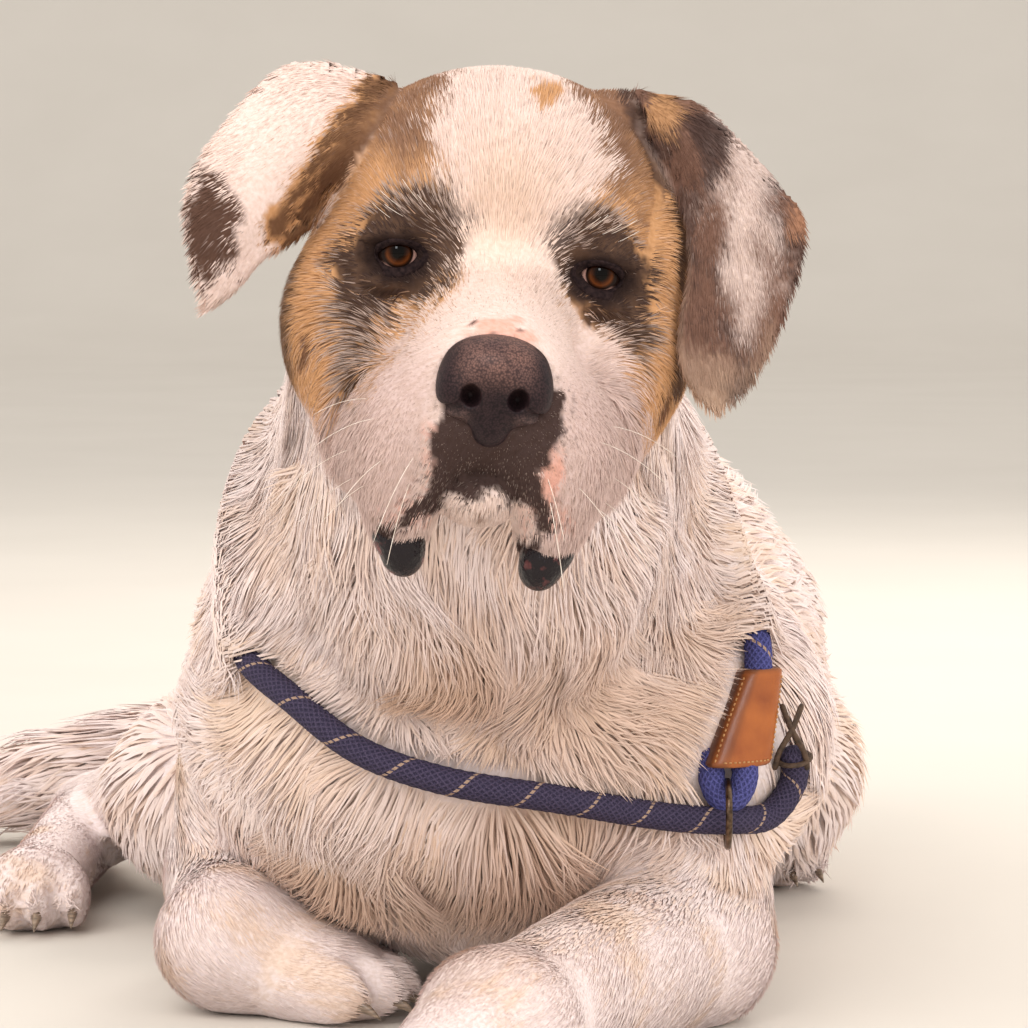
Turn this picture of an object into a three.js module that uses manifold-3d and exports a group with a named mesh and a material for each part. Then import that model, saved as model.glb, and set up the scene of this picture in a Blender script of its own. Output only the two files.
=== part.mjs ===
// A Saint Bernard lying on its chest with its head up, at life size, wearing a rope slip loop.
// Millimetres, +Z up. The dog faces -Y, its left side is +X, and it lies on the plane z = 0.
import * as THREE from 'three';
import { mergeVertices } from 'three/addons/utils/BufferGeometryUtils.js';
import Module from 'manifold-3d';

const wasm = await Module();
wasm.setup();

// Driving dimensions
const GAP = 0.3;
const FLOOR_Z = 0;
const EYES_FROM_FLOOR = 450;
const EYE_SPACING = 108;
const EYE_RADIUS = 12.5;
const HEAD_ROLL = 6.2;
const HEAD_YAW = 2.5;
const MUZZLE_LENGTH = 112;
const SKULL_HALF_WIDTH = 94;
const CHEST_HALF_WIDTH = 165;
const ROPE_RADIUS = 8.5;
const COAT_DEPTH = 17;
const LOCK_THICKNESS = 5;

const point = (x, y, z) => new THREE.Vector3(x, y, z);
const radians = THREE.MathUtils.degToRad;
const UP = point(0, 0, 1);

// The head's own frame has its origin midway between the eyes, x to the dog's left and y backwards.
const headFrame = new THREE.Matrix4()
  .makeRotationFromEuler(new THREE.Euler(0, radians(HEAD_ROLL), radians(HEAD_YAW), 'ZYX'))
  .setPosition(-8, 0, EYES_FROM_FLOOR);
const ofHead = (x, y, z) => point(x, y, z).applyMatrix4(headFrame);

// Distance fields. Each is a function of a point, negative inside, and they blend into soft forms.
function egg(centre, radii, turn = [0, 0, 0]) {
  const undo = new THREE.Matrix4()
    .makeRotationFromEuler(new THREE.Euler(...turn.map(radians)))
    .invert();
  const q = point(0, 0, 0);
  const scaled = point(0, 0, 0);
  return (p) => {
    q.subVectors(p, centre).applyMatrix4(undo);
    scaled.copy(q).divide(radii);
    const near = scaled.length();
    return (near * (near - 1)) / Math.max(scaled.divide(radii).length(), 1e-9);
  };
}

function limb(a, b, radiusA, radiusB) {
  const along = b.clone().sub(a);
  const q = point(0, 0, 0);
  return (p) => {
    q.subVectors(p, a);
    const share = THREE.MathUtils.clamp(q.dot(along) / along.lengthSq(), 0, 1);
    return q.addScaledVector(along, -share).length() - THREE.MathUtils.lerp(radiusA, radiusB, share);
  };
}

function blend(softness, ...fields) {
  return (p) =>
    fields.reduce((least, field) => {
      const d = field(p);
      const h = Math.max(softness - Math.abs(least - d), 0) / softness;
      return Math.min(least, d) - (h * h * softness) / 4;
    }, 1e4);
}

function carve(softness, field, ...cuts) {
  return (p) =>
    cuts.reduce((most, cut) => {
      const d = -cut(p);
      const h = Math.max(softness - Math.abs(most - d), 0) / softness;
      return Math.max(most, d) + (h * h * softness) / 4;
    }, field(p));
}

const bothSides = (make) => [make(-1), make(1)];
const { lerp, smoothstep } = THREE.MathUtils;

// Random numbers between 0 and 1, the same at every run
function seeded(seed) {
  let state = seed;
  return () => {
    state = (Math.imul(state, 1664525) + 1013904223) >>> 0;
    return state / 2 ** 32;
  };
}

// The point where a ray from inside a form leaves it, found from the outside in.
function surfacePoint(field, from, direction, reach) {
  const p = point(0, 0, 0);
  const least = 1;
  let distance = reach;
  for (let step = 0; step < 90 && distance > least; step++) {
    const d = field(p.copy(from).addScaledVector(direction, distance));
    if (d < 0.03) break;
    distance -= d * 0.7;
  }
  return from.clone().addScaledVector(direction, Math.max(distance, least));
}

function normalAt(field, p) {
  const slope = (x, y, z) => {
    const step = point(x, y, z);
    return field(p.clone().add(step)) - field(p.clone().sub(step));
  };
  const e = 0.5;
  return point(slope(e, 0, 0), slope(0, e, 0), slope(0, 0, e)).normalize();
}

// Moves a point along the field's slope until it stands at a height over the surface.
function settle(field, p, height) {
  const settled = p.clone();
  for (let step = 0; step < 6; step++) {
    settled.addScaledVector(normalAt(field, settled), height - field(settled));
  }
  return settled;
}

// Closed meshes from rows of points
function closedFromRows(rows, firstPole, lastPole) {
  const sides = rows[0].length;
  const points = [firstPole, ...rows.flat(), lastPole];
  const index = [];
  const at = (row, side) => 1 + row * sides + (side % sides);
  for (let side = 0; side < sides; side++) {
    index.push(0, at(0, side + 1), at(0, side));
    for (let row = 0; row < rows.length - 1; row++) {
      index.push(at(row, side), at(row, side + 1), at(row + 1, side + 1));
      index.push(at(row, side), at(row + 1, side + 1), at(row + 1, side));
    }
    index.push(points.length - 1, at(rows.length - 1, side), at(rows.length - 1, side + 1));
  }
  const geometry = new THREE.BufferGeometry().setFromPoints(points);
  geometry.setIndex(index);
  return geometry;
}

// A capsule of rings round a spine, each of its points laid on the field's surface and moved out from it.
function wrap(spinePoints, field, by, { rings, sides, reach, caps = 3, up = UP }) {
  const spine = new THREE.CatmullRomCurve3(spinePoints, false, 'centripetal');
  const rows = [];
  const laid = (centre, out) => {
    const p = surfacePoint(field, centre, out, reach);
    return by > 0 ? p.addScaledVector(normalAt(field, p), by) : p;
  };
  const row = (centre, along, lean) => {
    const right = point(0, 0, 0).crossVectors(along, up).normalize();
    const upward = point(0, 0, 0).crossVectors(right, along);
    const points = [];
    for (let side = 0; side < sides; side++) {
      const angle = (2 * Math.PI * side) / sides;
      const out = right.clone().multiplyScalar(Math.cos(angle) * Math.cos(lean));
      out.addScaledVector(upward, Math.sin(angle) * Math.cos(lean)).addScaledVector(along, Math.sin(lean));
      points.push(laid(centre, out));
    }
    rows.push(points);
  };
  const start = spine.getPointAt(0);
  const end = spine.getPointAt(1);
  const startAlong = spine.getTangentAt(0);
  const endAlong = spine.getTangentAt(1);
  for (let cap = caps; cap > 0; cap--) row(start, startAlong, -(Math.PI / 2) * (cap / (caps + 1)));
  for (let ring = 0; ring < rings; ring++) {
    const share = ring / (rings - 1);
    row(spine.getPointAt(share), spine.getTangentAt(share), 0);
  }
  for (let cap = 1; cap <= caps; cap++) row(end, endAlong, (Math.PI / 2) * (cap / (caps + 1)));
  return closedFromRows(rows, laid(start, startAlong.clone().negate()), laid(end, endAlong));
}

// A round bar along a curve, with a polygon as its section
function tube(curve, radius, steps, sides) {
  const corners = Array.from({ length: sides }, (_, i) => {
    const angle = (2 * Math.PI * i) / sides;
    return new THREE.Vector2(Math.cos(angle) * radius, Math.sin(angle) * radius);
  });
  const section = new THREE.Shape(corners);
  return new THREE.ExtrudeGeometry(section, { steps, bevelEnabled: false, extrudePath: curve });
}

// Solids for joining and cutting
function solid(geometry) {
  const bare = new THREE.BufferGeometry().setAttribute('position', geometry.getAttribute('position'));
  bare.setIndex(geometry.index);
  const merged = mergeVertices(bare, 1e-4);
  const vertProperties = merged.attributes.position.array;
  const triVerts = new Uint32Array(merged.index.array);
  const make = () => new wasm.Manifold(new wasm.Mesh({ numProp: 3, vertProperties, triVerts }));
  const made = make();
  if (made.volume() >= 0) return made;
  for (let i = 0; i < triVerts.length; i += 3) {
    [triVerts[i + 1], triVerts[i + 2]] = [triVerts[i + 2], triVerts[i + 1]];
  }
  return make();
}

const join = (solids) => wasm.Manifold.union(solids);
const largest = (made) => made.decompose().reduce((a, b) => (b.volume() > a.volume() ? b : a));
const cut = (made, ...others) => others.reduce((left, other) => left.subtract(other), made);

function block(size, centre) {
  return solid(new THREE.BoxGeometry(size.x, size.y, size.z).translate(centre.x, centre.y, centre.z));
}

const belowFloor = block(point(4000, 4000, 400), point(0, 0, FLOOR_Z - 200));

function ellipsoid(centre, radii, around = 12, down = 8) {
  const geometry = new THREE.SphereGeometry(1, around, down);
  return geometry.scale(radii.x, radii.y, radii.z).translate(centre.x, centre.y, centre.z);
}

const inHead = (geometry) => geometry.applyMatrix4(headFrame);

// Locks of the long coat. Each is a flat blade with a crest, sunk at its root, that rises and bends along
// the lie of the coat and narrows to a point, so that its tip stands clear over the roots of the next row.
const LOCK_RINGS = [
  { share: 0.34, rise: 0.26, width: 1, crest: 1 },
  { share: 0.7, rise: 0.78, width: 0.74, crest: 0.8 },
];
const LOCK_HEEL = { share: 0, rise: -0.4 };
const LOCK_TIP = { share: 1, rise: 1 };
const LOCK_DROOP = 0.07;

function lock(field, lie, root, { length, width, lift, sway }) {
  const on = root.clone();
  let along = point(0, 0, 0);
  let before = 0;
  const [heel, ...frames] = [LOCK_HEEL, ...LOCK_RINGS, LOCK_TIP].map(({ share, rise }) => {
    on.copy(settle(field, on.clone().addScaledVector(along, (share - before) * length), 0));
    before = share;
    const out = normalAt(field, on);
    along = lie(on).projectOnPlane(out).normalize();
    const across = point(0, 0, 0).crossVectors(out, along);
    const centre = on.clone().addScaledVector(out, rise * lift);
    centre.addScaledVector(across, sway * Math.sin(1.3 * Math.PI * share));
    return { centre, out, across };
  });
  const rows = LOCK_RINGS.map((ring, i) => {
    const { centre, out, across } = frames[i];
    const half = (ring.width * width) / 2;
    const edge = (side) =>
      centre.clone().addScaledVector(across, side * half).addScaledVector(out, -2 * LOCK_DROOP * half);
    return [edge(-1), centre.clone().addScaledVector(out, ring.crest * LOCK_THICKNESS), edge(1)];
  });
  return solid(closedFromRows(rows, heel.centre, frames[2].centre));
}

// Roots in staggered rows round a spine, on the field's surface
function rootsRound(spinePoints, field, { rows, around, random, up = UP }) {
  const spine = new THREE.CatmullRomCurve3(spinePoints, false, 'centripetal');
  const roots = [];
  for (let row = 0; row < rows; row++) {
    for (let place = 0; place < around; place++) {
      const share = (row + 0.5 + 0.2 * (random() - 0.5)) / rows;
      const angle = (2 * Math.PI * (place + (row % 2) / 2 + 0.2 * (random() - 0.5))) / around;
      const along = spine.getTangentAt(share);
      const right = point(0, 0, 0).crossVectors(along, up).normalize();
      const upward = point(0, 0, 0).crossVectors(right, along);
      const out = right.multiplyScalar(Math.cos(angle)).addScaledVector(upward, Math.sin(angle));
      roots.push(surfacePoint(field, spine.getPointAt(share), out, 420));
    }
  }
  return roots;
}

// One lock on each root, shortened until it is clear of everything that it must not cross
const LOCK_TRIES = [1, 0.8, 0.62];
function locksOn(roots, field, lie, random, size, keepClear) {
  const locks = [];
  for (const root of roots) {
    const draw = { stretch: 0.85 + 0.3 * random(), sway: random() - 0.5, stand: random() };
    for (const part of LOCK_TRIES) {
      const made = lock(field, lie, root, {
        length: size.length * draw.stretch * part,
        width: size.width * (0.85 + 0.3 * draw.stand),
        lift: size.lift(root) + 5 * draw.stand,
        sway: size.width * 0.5 * draw.sway,
      });
      if (keepClear.every((other) => made.intersect(other).isEmpty())) {
        locks.push(made);
        break;
      }
    }
  }
  return locks;
}

// Materials
const coat = (color) => new THREE.MeshStandardMaterial({ color, roughness: 0.9, metalness: 0 });
const WHITE_COAT = coat('#ece2d8');
const FACE_COAT = coat('#d9c6b2');
const PATCH_COAT = coat('#8a6f5c');
const PALE_EAR_COAT = coat('#e6dbd3');
const NOSE_LEATHER = new THREE.MeshStandardMaterial({ color: '#3b2f30', roughness: 0.55, metalness: 0 });
const LIP_SKIN = new THREE.MeshStandardMaterial({ color: '#231a1c', roughness: 0.25, metalness: 0 });
const EYE_SURFACE = new THREE.MeshStandardMaterial({ color: '#4a2413', roughness: 0.05, metalness: 0 });
const ROPE_WEAVE = new THREE.MeshStandardMaterial({ color: '#343d66', roughness: 0.85, metalness: 0 });
const BRIGHT_ROPE = new THREE.MeshStandardMaterial({ color: '#4a55a8', roughness: 0.85, metalness: 0 });
const TAN_LEATHER = new THREE.MeshStandardMaterial({ color: '#a9551f', roughness: 0.5, metalness: 0 });
const DARK_LEATHER = new THREE.MeshStandardMaterial({ color: '#43301f', roughness: 0.7, metalness: 0 });
const DARK_METAL = new THREE.MeshStandardMaterial({ color: '#4a4038', roughness: 0.35, metalness: 1 });

const dog = new THREE.Group();
function node(name, made, material, pivot = point(0, 0, 0)) {
  const mesh = largest(made).getMesh();
  const positions = new Float32Array(mesh.numVert * 3);
  for (let i = 0; i < mesh.numVert; i++) {
    positions.set(mesh.vertProperties.subarray(i * mesh.numProp, i * mesh.numProp + 3), i * 3);
  }
  const geometry = new THREE.BufferGeometry();
  geometry.setAttribute('position', new THREE.BufferAttribute(positions, 3));
  geometry.setIndex(new THREE.BufferAttribute(new Uint32Array(mesh.triVerts), 1));
  geometry.translate(-pivot.x, -pivot.y, -pivot.z);
  geometry.computeVertexNormals();
  const shown = new THREE.Mesh(geometry, material);
  shown.name = name;
  shown.position.copy(pivot);
  dog.add(shown);
}

// Trunk and neck
const RIBS = point(26, 500, 174);
const LOIN = point(54, 700, 165);
const trunkField = blend(
  50,
  egg(point(-24, 285, 195), point(CHEST_HALF_WIDTH, 160, 168)),
  egg(point(-104, 305, 185), point(84, 100, 100)),
  egg(point(108, 282, 165), point(84, 100, 100)),
  egg(RIBS, point(170, 255, 178)),
  limb(point(-10, 345, 338), point(38, 720, 285), 66, 66),
  egg(LOIN, point(164, 200, 150)),
  egg(point(62, 850, 160), point(148, 150, 161)),
);
const neckField = blend(
  40,
  limb(point(-14, 95, 430), point(-20, 255, 300), 103, 138),
  egg(point(-18, 140, 285), point(100, 70, 95)),
);
const bodyField = blend(36, neckField, trunkField);

// Under the long coat of the neck, chest and shoulders the core is set back from the body's outline.
const coatDepth = (p) => COAT_DEPTH * (1 - smoothstep(p.y, 190, 300)) * smoothstep(p.z, 15, 70);
const coreField = (p) => bodyField(p) + coatDepth(p);
const torsoSpine = [point(-20, 260, 190), point(0, 400, 200), RIBS, LOIN, point(60, 860, 185)];
const neckSpine = [point(-10, 80, 445), point(-14, 160, 360), point(-20, 235, 270), point(-20, 290, 200)];
const torsoForm = (by) => solid(wrap(torsoSpine, coreField, by, { rings: 14, sides: 20, reach: 420 }));
const neckForm = (by) =>
  solid(wrap(neckSpine, coreField, by, { rings: 7, sides: 20, reach: 420, up: point(0, 1, 0) }));

// The neck is parted from the trunk along two planes, one under the loop's front and one at the nape.
const LOOP_FRONT = { normal: point(0.328, -0.455, 1).normalize(), at: point(0, 0, 79) };
const LOOP_NAPE = { normal: point(0, -1.475, 1).normalize(), at: point(0, 0, -118) };
function halfSpace({ normal, at }, by) {
  const size = 2400;
  const turn = new THREE.Quaternion().setFromUnitVectors(UP, normal);
  const centre = at.clone().addScaledVector(normal, size / 2 - by);
  const box = new THREE.BoxGeometry(size, size, size).applyQuaternion(turn);
  return solid(box.translate(centre.x, centre.y, centre.z));
}
const neckZone = (by) => halfSpace(LOOP_FRONT, by).intersect(halfSpace(LOOP_NAPE, by));
const overPlane = ({ normal, at }, p) => p.clone().sub(at).dot(normal);
const intoNeck = (p) => Math.min(overPlane(LOOP_FRONT, p), overPlane(LOOP_NAPE, p));

// The coat lies down the throat and chest, and back along the nape and shoulders.
function bodyLie(p) {
  const back = smoothstep(p.y, 120, 330);
  return point((p.x + 15) / 500, 0.15 + 0.95 * back, 0.6 * back - 1);
}
const COAT_SPINE = [
  point(-10, 80, 445), point(-14, 160, 360), point(-20, 235, 270),
  point(-15, 310, 210), point(0, 420, 190), point(10, 520, 185),
];
const coatLift = (p) => coatDepth(p) + 3;
const NECK_LOCK = { length: 96, width: 52, lift: coatLift };
const CHEST_LOCK = { length: 90, width: 54, lift: coatLift };
const ROOT_CLEARANCE = 6;
const COAT_FLOOR = 30;
const COAT_REAR = 370;
const CHEST_SPINE = [point(-20, 272, 207), point(-14, 316, 107)];
const CHEST_REAR = 240;

// Head, in its own frame
const eyeAt = (side) => point((side * EYE_SPACING) / 2, 0, 0);
const headField = carve(
  6,
  blend(
    26,
    egg(point(0, 74, 30), point(SKULL_HALF_WIDTH, 92, 76)),
    egg(point(0, 30, 46), point(70, 48, 52)),
    ...bothSides((s) => egg(point(s * 42, 6, 24), point(27, 22, 16))),
    ...bothSides((s) => egg(point(s * 66, 54, -38), point(46, 62, 62))),
    limb(point(0, 6, -36), point(0, 30 - MUZZLE_LENGTH, -58), 46, 38),
    ...bothSides((s) => egg(point(s * 30, -60, -84), point(33, 44, 38))),
    ...bothSides((s) => egg(point(s * 42, -42, -112), point(24, 44, 48), [0, s * 8, 0])),
    ...bothSides((s) => egg(point(s * 56, 12, -90), point(30, 52, 42))),
    egg(point(0, 50, -84), point(60, 60, 44)),
  ),
  ...bothSides((s) => egg(point(s * 56, -20, 0), point(15, 12, 10))),
  egg(point(0, -66, -153), point(19, 44, 32)),
);
const headSpine = [
  point(0, 104, 6), point(0, 60, 0), point(0, 10, -26), point(0, -40, -66), point(0, -66, -76),
];
const headForm = (by) =>
  solid(inHead(wrap(headSpine, headField, by, { rings: 19, sides: 28, reach: 240, caps: 4 })));

// Nose, with nostrils cut in
const noseField = blend(
  10,
  egg(point(0, 6 - MUZZLE_LENGTH, -56), point(28, 20, 21)),
  egg(point(0, 8 - MUZZLE_LENGTH, -76), point(14, 14, 16)),
);
function noseForm(by) {
  return solid(
    inHead(wrap([point(0, 14 - MUZZLE_LENGTH, -50), point(0, 14 - MUZZLE_LENGTH, -74)], noseField, by, {
      rings: 4,
      sides: 14,
      reach: 60,
      up: point(0, 1, 0),
    })),
  );
}
const nostrils = bothSides((s) =>
  join([
    solid(inHead(ellipsoid(point(s * 12, -12 - MUZZLE_LENGTH, -65), point(4.8, 9, 5.4), 7, 5))),
    solid(inHead(ellipsoid(point(s * 20, -5 - MUZZLE_LENGTH, -70), point(8, 10, 2.6), 7, 4))),
  ]),
);

// Lower jaw
const jawField = blend(
  14,
  egg(point(0, -62, -116), point(25, 30, 18)),
  limb(point(0, -50, -112), point(0, 10, -104), 22, 34),
);
const jawForm = (by) =>
  solid(
    inHead(wrap([point(0, -66, -116), point(0, 10, -106)], jawField, by, { rings: 5, sides: 12, reach: 90 })),
  );

// The dark everted lip at the foot of each flew
const lipForm = (s, by) =>
  solid(inHead(ellipsoid(point(s * 37, -62, -150), point(11.5 + by, 17 + by, 15 + by), 10, 7)));

// Lids: a shell over each eyeball, open along an almond that droops towards its outer corner
const lidBall = (s) => solid(inHead(ellipsoid(eyeAt(s), point(16.5, 15.4, 15.4), 12, 8)));
function eyeOpening(s) {
  const almond = new THREE.Shape();
  almond.moveTo(-11.5, 0);
  almond.quadraticCurveTo(-2, 11.5, 11.5, -1);
  almond.quadraticCurveTo(2, -14.5, -11.5, 0);
  const slot = new THREE.ExtrudeGeometry(almond, { depth: 40, curveSegments: 4, bevelEnabled: false });
  if (s < 0) slot.rotateY(Math.PI).translate(0, 0, 40);
  return solid(inHead(slot.rotateX(Math.PI / 2).translate(...eyeAt(s).toArray())));
}

// Ears: a leaf between a front edge and a rear edge, cupped at its root with the hollow towards the head
const EAR_THICKNESS = 9;
const EAR_CAMBER = 9;
const EAR_CUP = 17;
function ear([frontEdge, rearEdge], by) {
  const front = new THREE.CatmullRomCurve3(frontEdge, false, 'centripetal');
  const rear = new THREE.CatmullRomCurve3(rearEdge, false, 'centripetal');
  const rows = 9;
  const columns = 6;
  const middle = [];
  for (let i = 0; i < rows; i++) {
    const share = (i / (rows - 1)) * 0.97;
    const a = front.getPointAt(share);
    const b = rear.getPointAt(share);
    middle.push(
      Array.from({ length: columns + 1 }, (_, j) => {
        const across = j / columns;
        const cup = EAR_CUP * (1 - smoothstep(share, 0.1, 0.6));
        const leaf = EAR_CAMBER * Math.sin(Math.PI * (0.25 + 0.6 * share));
        const bulge = Math.sin(Math.PI * across) * (cup + leaf);
        return a.clone().lerp(b, across).add(point(0, -bulge, 0));
      }),
    );
  }
  const facing = (i, j) => {
    const down = middle[Math.min(i + 1, rows - 1)][j].clone().sub(middle[Math.max(i - 1, 0)][j]);
    const over = middle[i][Math.min(j + 1, columns)].clone().sub(middle[i][Math.max(j - 1, 0)]);
    return down.cross(over).normalize();
  };
  const loops = middle.map((line, i) => {
    const taper = EAR_THICKNESS * (1 - 0.5 * (i / rows));
    const depth = (j) => taper * (0.25 + 0.75 * Math.sin((Math.PI * j) / columns)) + 2 * by;
    const face = (sign) => line.map((p, j) => p.clone().addScaledVector(facing(i, j), (sign * depth(j)) / 2));
    return [...face(1), ...face(-1).reverse()];
  });
  const centreOf = (loop) => loop.reduce((sum, p) => sum.add(p), point(0, 0, 0)).divideScalar(loop.length);
  const tip = front.getPointAt(1).lerp(rear.getPointAt(1), 0.5);
  return solid(inHead(closedFromRows(loops, centreOf(loops[0]), tip)));
}

const RIGHT_EAR = [
  [
    point(-84, 44, 30), point(-114, 34, -2), point(-124, 24, -8),
    point(-140, 16, -32), point(-152, 14, -41),
  ],
  [
    point(-62, 52, 92), point(-118, 40, 96), point(-156, 26, 60),
    point(-174, 16, 18), point(-160, 12, -28), point(-152, 14, -41),
  ],
];
const LEFT_EAR = [
  [
    point(72, 40, 78), point(94, 26, 48), point(104, 16, 12),
    point(101, 10, -24), point(107, 8, -50), point(124, 10, -66),
  ],
  [
    point(66, 56, 100), point(100, 50, 97), point(146, 40, 60), point(162, 32, 42),
    point(158, 22, -4), point(140, 12, -50), point(124, 10, -66),
  ],
];

// Legs
const FORELEG = {
  left: {
    shoulder: point(76, 280, 170),
    elbow: point(99, 238, 46),
    wrist: point(-6, 8, 42),
    toes: point(-60, -112, 24),
  },
  right: {
    shoulder: point(-132, 318, 164),
    elbow: point(-161, 385, 58),
    wrist: point(-170, 262, 44),
    toes: point(-84, 234, 24),
  },
};
const HINDLEG = {
  left: {
    hip: point(120, 810, 140),
    knee: point(174, 705, 84),
    hock: point(140, 925, 46),
    toes: point(178, 705, 24),
  },
  right: {
    hip: point(-30, 800, 150),
    knee: point(-205, 575, 88),
    hock: point(-296, 800, 38),
    toes: point(-318, 528, 24),
  },
};
const LEG_SIDES = 16;

function forelegForm(side, by) {
  const { shoulder, elbow, wrist } = FORELEG[side];
  const upperArm = limb(shoulder, elbow, 72, 58);
  const forearm = blend(20, limb(elbow, wrist, 57, 42), egg(wrist, point(44, 44, 40)));
  return join([
    solid(wrap([shoulder, elbow], upperArm, by, { rings: 3, sides: 12, reach: 200, caps: 2 })),
    solid(wrap([elbow, wrist], forearm, by, { rings: 5, sides: 12, reach: 200, caps: 3 })),
  ]);
}

function thighField(side) {
  const { hip, knee } = HINDLEG[side];
  return blend(30, limb(hip, knee, 104, 64), egg(knee, point(66, 72, 64)));
}
function thighForm(side, by) {
  const { hip, knee } = HINDLEG[side];
  return solid(wrap([hip, knee], thighField(side), by, { rings: 7, sides: LEG_SIDES, reach: 260 }));
}

// The breeches: long hair on the rear of each thigh, lying back and down
const BREECHES_LOCK = { length: 90, width: 42, lift: () => 14 };
const breechesLie = () => point(0, 0.85, -0.5);
function breechesRoots(side, random) {
  const { hip, knee } = HINDLEG[side];
  const field = thighField(side);
  const roots = rootsRound([hip, knee], field, { rows: 3, around: 9, random });
  const onRear = (p) => normalAt(field, p).y > -0.1;
  return roots.filter((p) => onRear(p) && bodyField(p) > ROOT_CLEARANCE && p.z > COAT_FLOOR);
}

function shankForm(side, by) {
  const { knee, hock } = HINDLEG[side];
  const start = knee.clone().lerp(hock, 0.12);
  const field = blend(12, limb(start, hock, 52, 33), egg(hock, point(36, 38, 34)));
  return solid(wrap([start, hock], field, by, { rings: 6, sides: LEG_SIDES - 2, reach: 150, caps: 2 }));
}

// A paw runs from the wrist or hock to the toes, with four toes and their claws in front.
function pawForm(from, toes, rootRadius, frontRadius, by) {
  const along = toes.clone().sub(from).setZ(0).normalize();
  const across = point(-along.y, along.x, 0);
  const heading = Math.atan2(along.y, along.x);
  const knuckles = toes.clone().addScaledVector(along, -30);
  const field = blend(12, limb(from, knuckles, rootRadius, frontRadius), egg(knuckles, point(38, 38, 30)));
  const pieces = [solid(wrap([from, knuckles], field, by, { rings: 3, sides: 10, reach: 130, caps: 2 }))];
  [-1.5, -0.5, 0.5, 1.5].forEach((place) => {
    const outer = Math.abs(place) > 1;
    const turn = heading - Math.PI / 2 - place * 0.08;
    const toe = toes.clone().addScaledVector(across, -place * 19).addScaledVector(along, outer ? -16 : -2);
    const rounded = new THREE.SphereGeometry(1, 6, 4).scale(13 + by, 27 + by, 22 + by).rotateZ(turn);
    pieces.push(solid(rounded.translate(toe.x, toe.y, 21)));
    const claw = new THREE.CylinderGeometry(2 + by, 5 + by, 18 + by, 4).rotateX(radians(-114));
    const tip = toe.clone().addScaledVector(along, 24);
    pieces.push(solid(claw.rotateZ(turn + Math.PI).translate(tip.x, tip.y, 13)));
  });
  return join(pieces);
}

// Tail
const tailCurve = new THREE.CatmullRomCurve3(
  [
    point(62, 930, 150), point(40, 1025, 88), point(-90, 1050, 54),
    point(-210, 985, 50), point(-310, 928, 48), point(-430, 900, 38),
  ],
  false,
  'centripetal',
);
const tailOutline = (share) => 46 + 16 * Math.sin(Math.PI * Math.min(share * 1.15, 1)) - 24 * share ** 4;
const TAIL_COAT = 13;
const tailRadius = (share) => tailOutline(share) - TAIL_COAT * smoothstep(share, 0.05, 0.2);
const TAIL_SAMPLES = 60;
const tailSamples = Array.from({ length: TAIL_SAMPLES + 1 }, (_, i) => {
  const share = i / TAIL_SAMPLES;
  return { share, at: tailCurve.getPointAt(share) };
});
const nearestOnTail = (p) =>
  tailSamples.reduce((a, b) => (b.at.distanceTo(p) < a.at.distanceTo(p) ? b : a));
function tailField(p) {
  const { share } = nearestOnTail(p);
  const along = tailCurve.getTangentAt(share);
  return p.clone().sub(tailCurve.getPointAt(share)).projectOnPlane(along).length() - tailRadius(share);
}
function tailLie(p) {
  const { share, at } = nearestOnTail(p);
  const outwards = p.clone().sub(at).setZ(0).normalize();
  return tailCurve.getTangentAt(share).addScaledVector(outwards, 0.3).addScaledVector(UP, -0.15);
}
const TAIL_LOCK = { length: 110, width: 46, lift: () => TAIL_COAT + 1 };
function tailRoots(from, to, rows, random) {
  const around = 5;
  const roots = [];
  for (let row = 0; row < rows; row++) {
    for (let place = 0; place < around; place++) {
      const share = lerp(from, to, (row + 0.5 + 0.2 * (random() - 0.5)) / rows);
      const angle = (2 * Math.PI * (place + (row % 2) / 2 + 0.2 * (random() - 0.5))) / around;
      const along = tailCurve.getTangentAt(share);
      const right = point(0, 0, 0).crossVectors(along, UP).normalize();
      const upward = point(0, 0, 0).crossVectors(right, along);
      const out = right.multiplyScalar(Math.cos(angle)).addScaledVector(upward, Math.sin(angle));
      roots.push(tailCurve.getPointAt(share).addScaledVector(out, tailRadius(share)));
    }
  }
  return roots.filter((p) => p.z > TAIL_COAT);
}
function tailForm(from, to, steps, by) {
  const rows = [];
  const sides = 12;
  for (let i = 0; i <= steps; i++) {
    const share = THREE.MathUtils.lerp(from, to, i / steps);
    const along = tailCurve.getTangentAt(share);
    const right = point(0, 0, 0).crossVectors(along, UP).normalize();
    const upward = point(0, 0, 0).crossVectors(right, along);
    const ring = [];
    for (let side = 0; side < sides; side++) {
      const angle = (2 * Math.PI * side) / sides;
      const out = right.clone().multiplyScalar(Math.cos(angle)).addScaledVector(upward, Math.sin(angle));
      ring.push(tailCurve.getPointAt(share).addScaledVector(out, tailRadius(share) + by));
    }
    rows.push(ring);
  }
  const rounding = to === 1 ? 46 : 0;
  const tip = tailCurve.getPointAt(to).addScaledVector(tailCurve.getTangentAt(to), rounding);
  return solid(closedFromRows(rows, tailCurve.getPointAt(from), tip));
}

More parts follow.
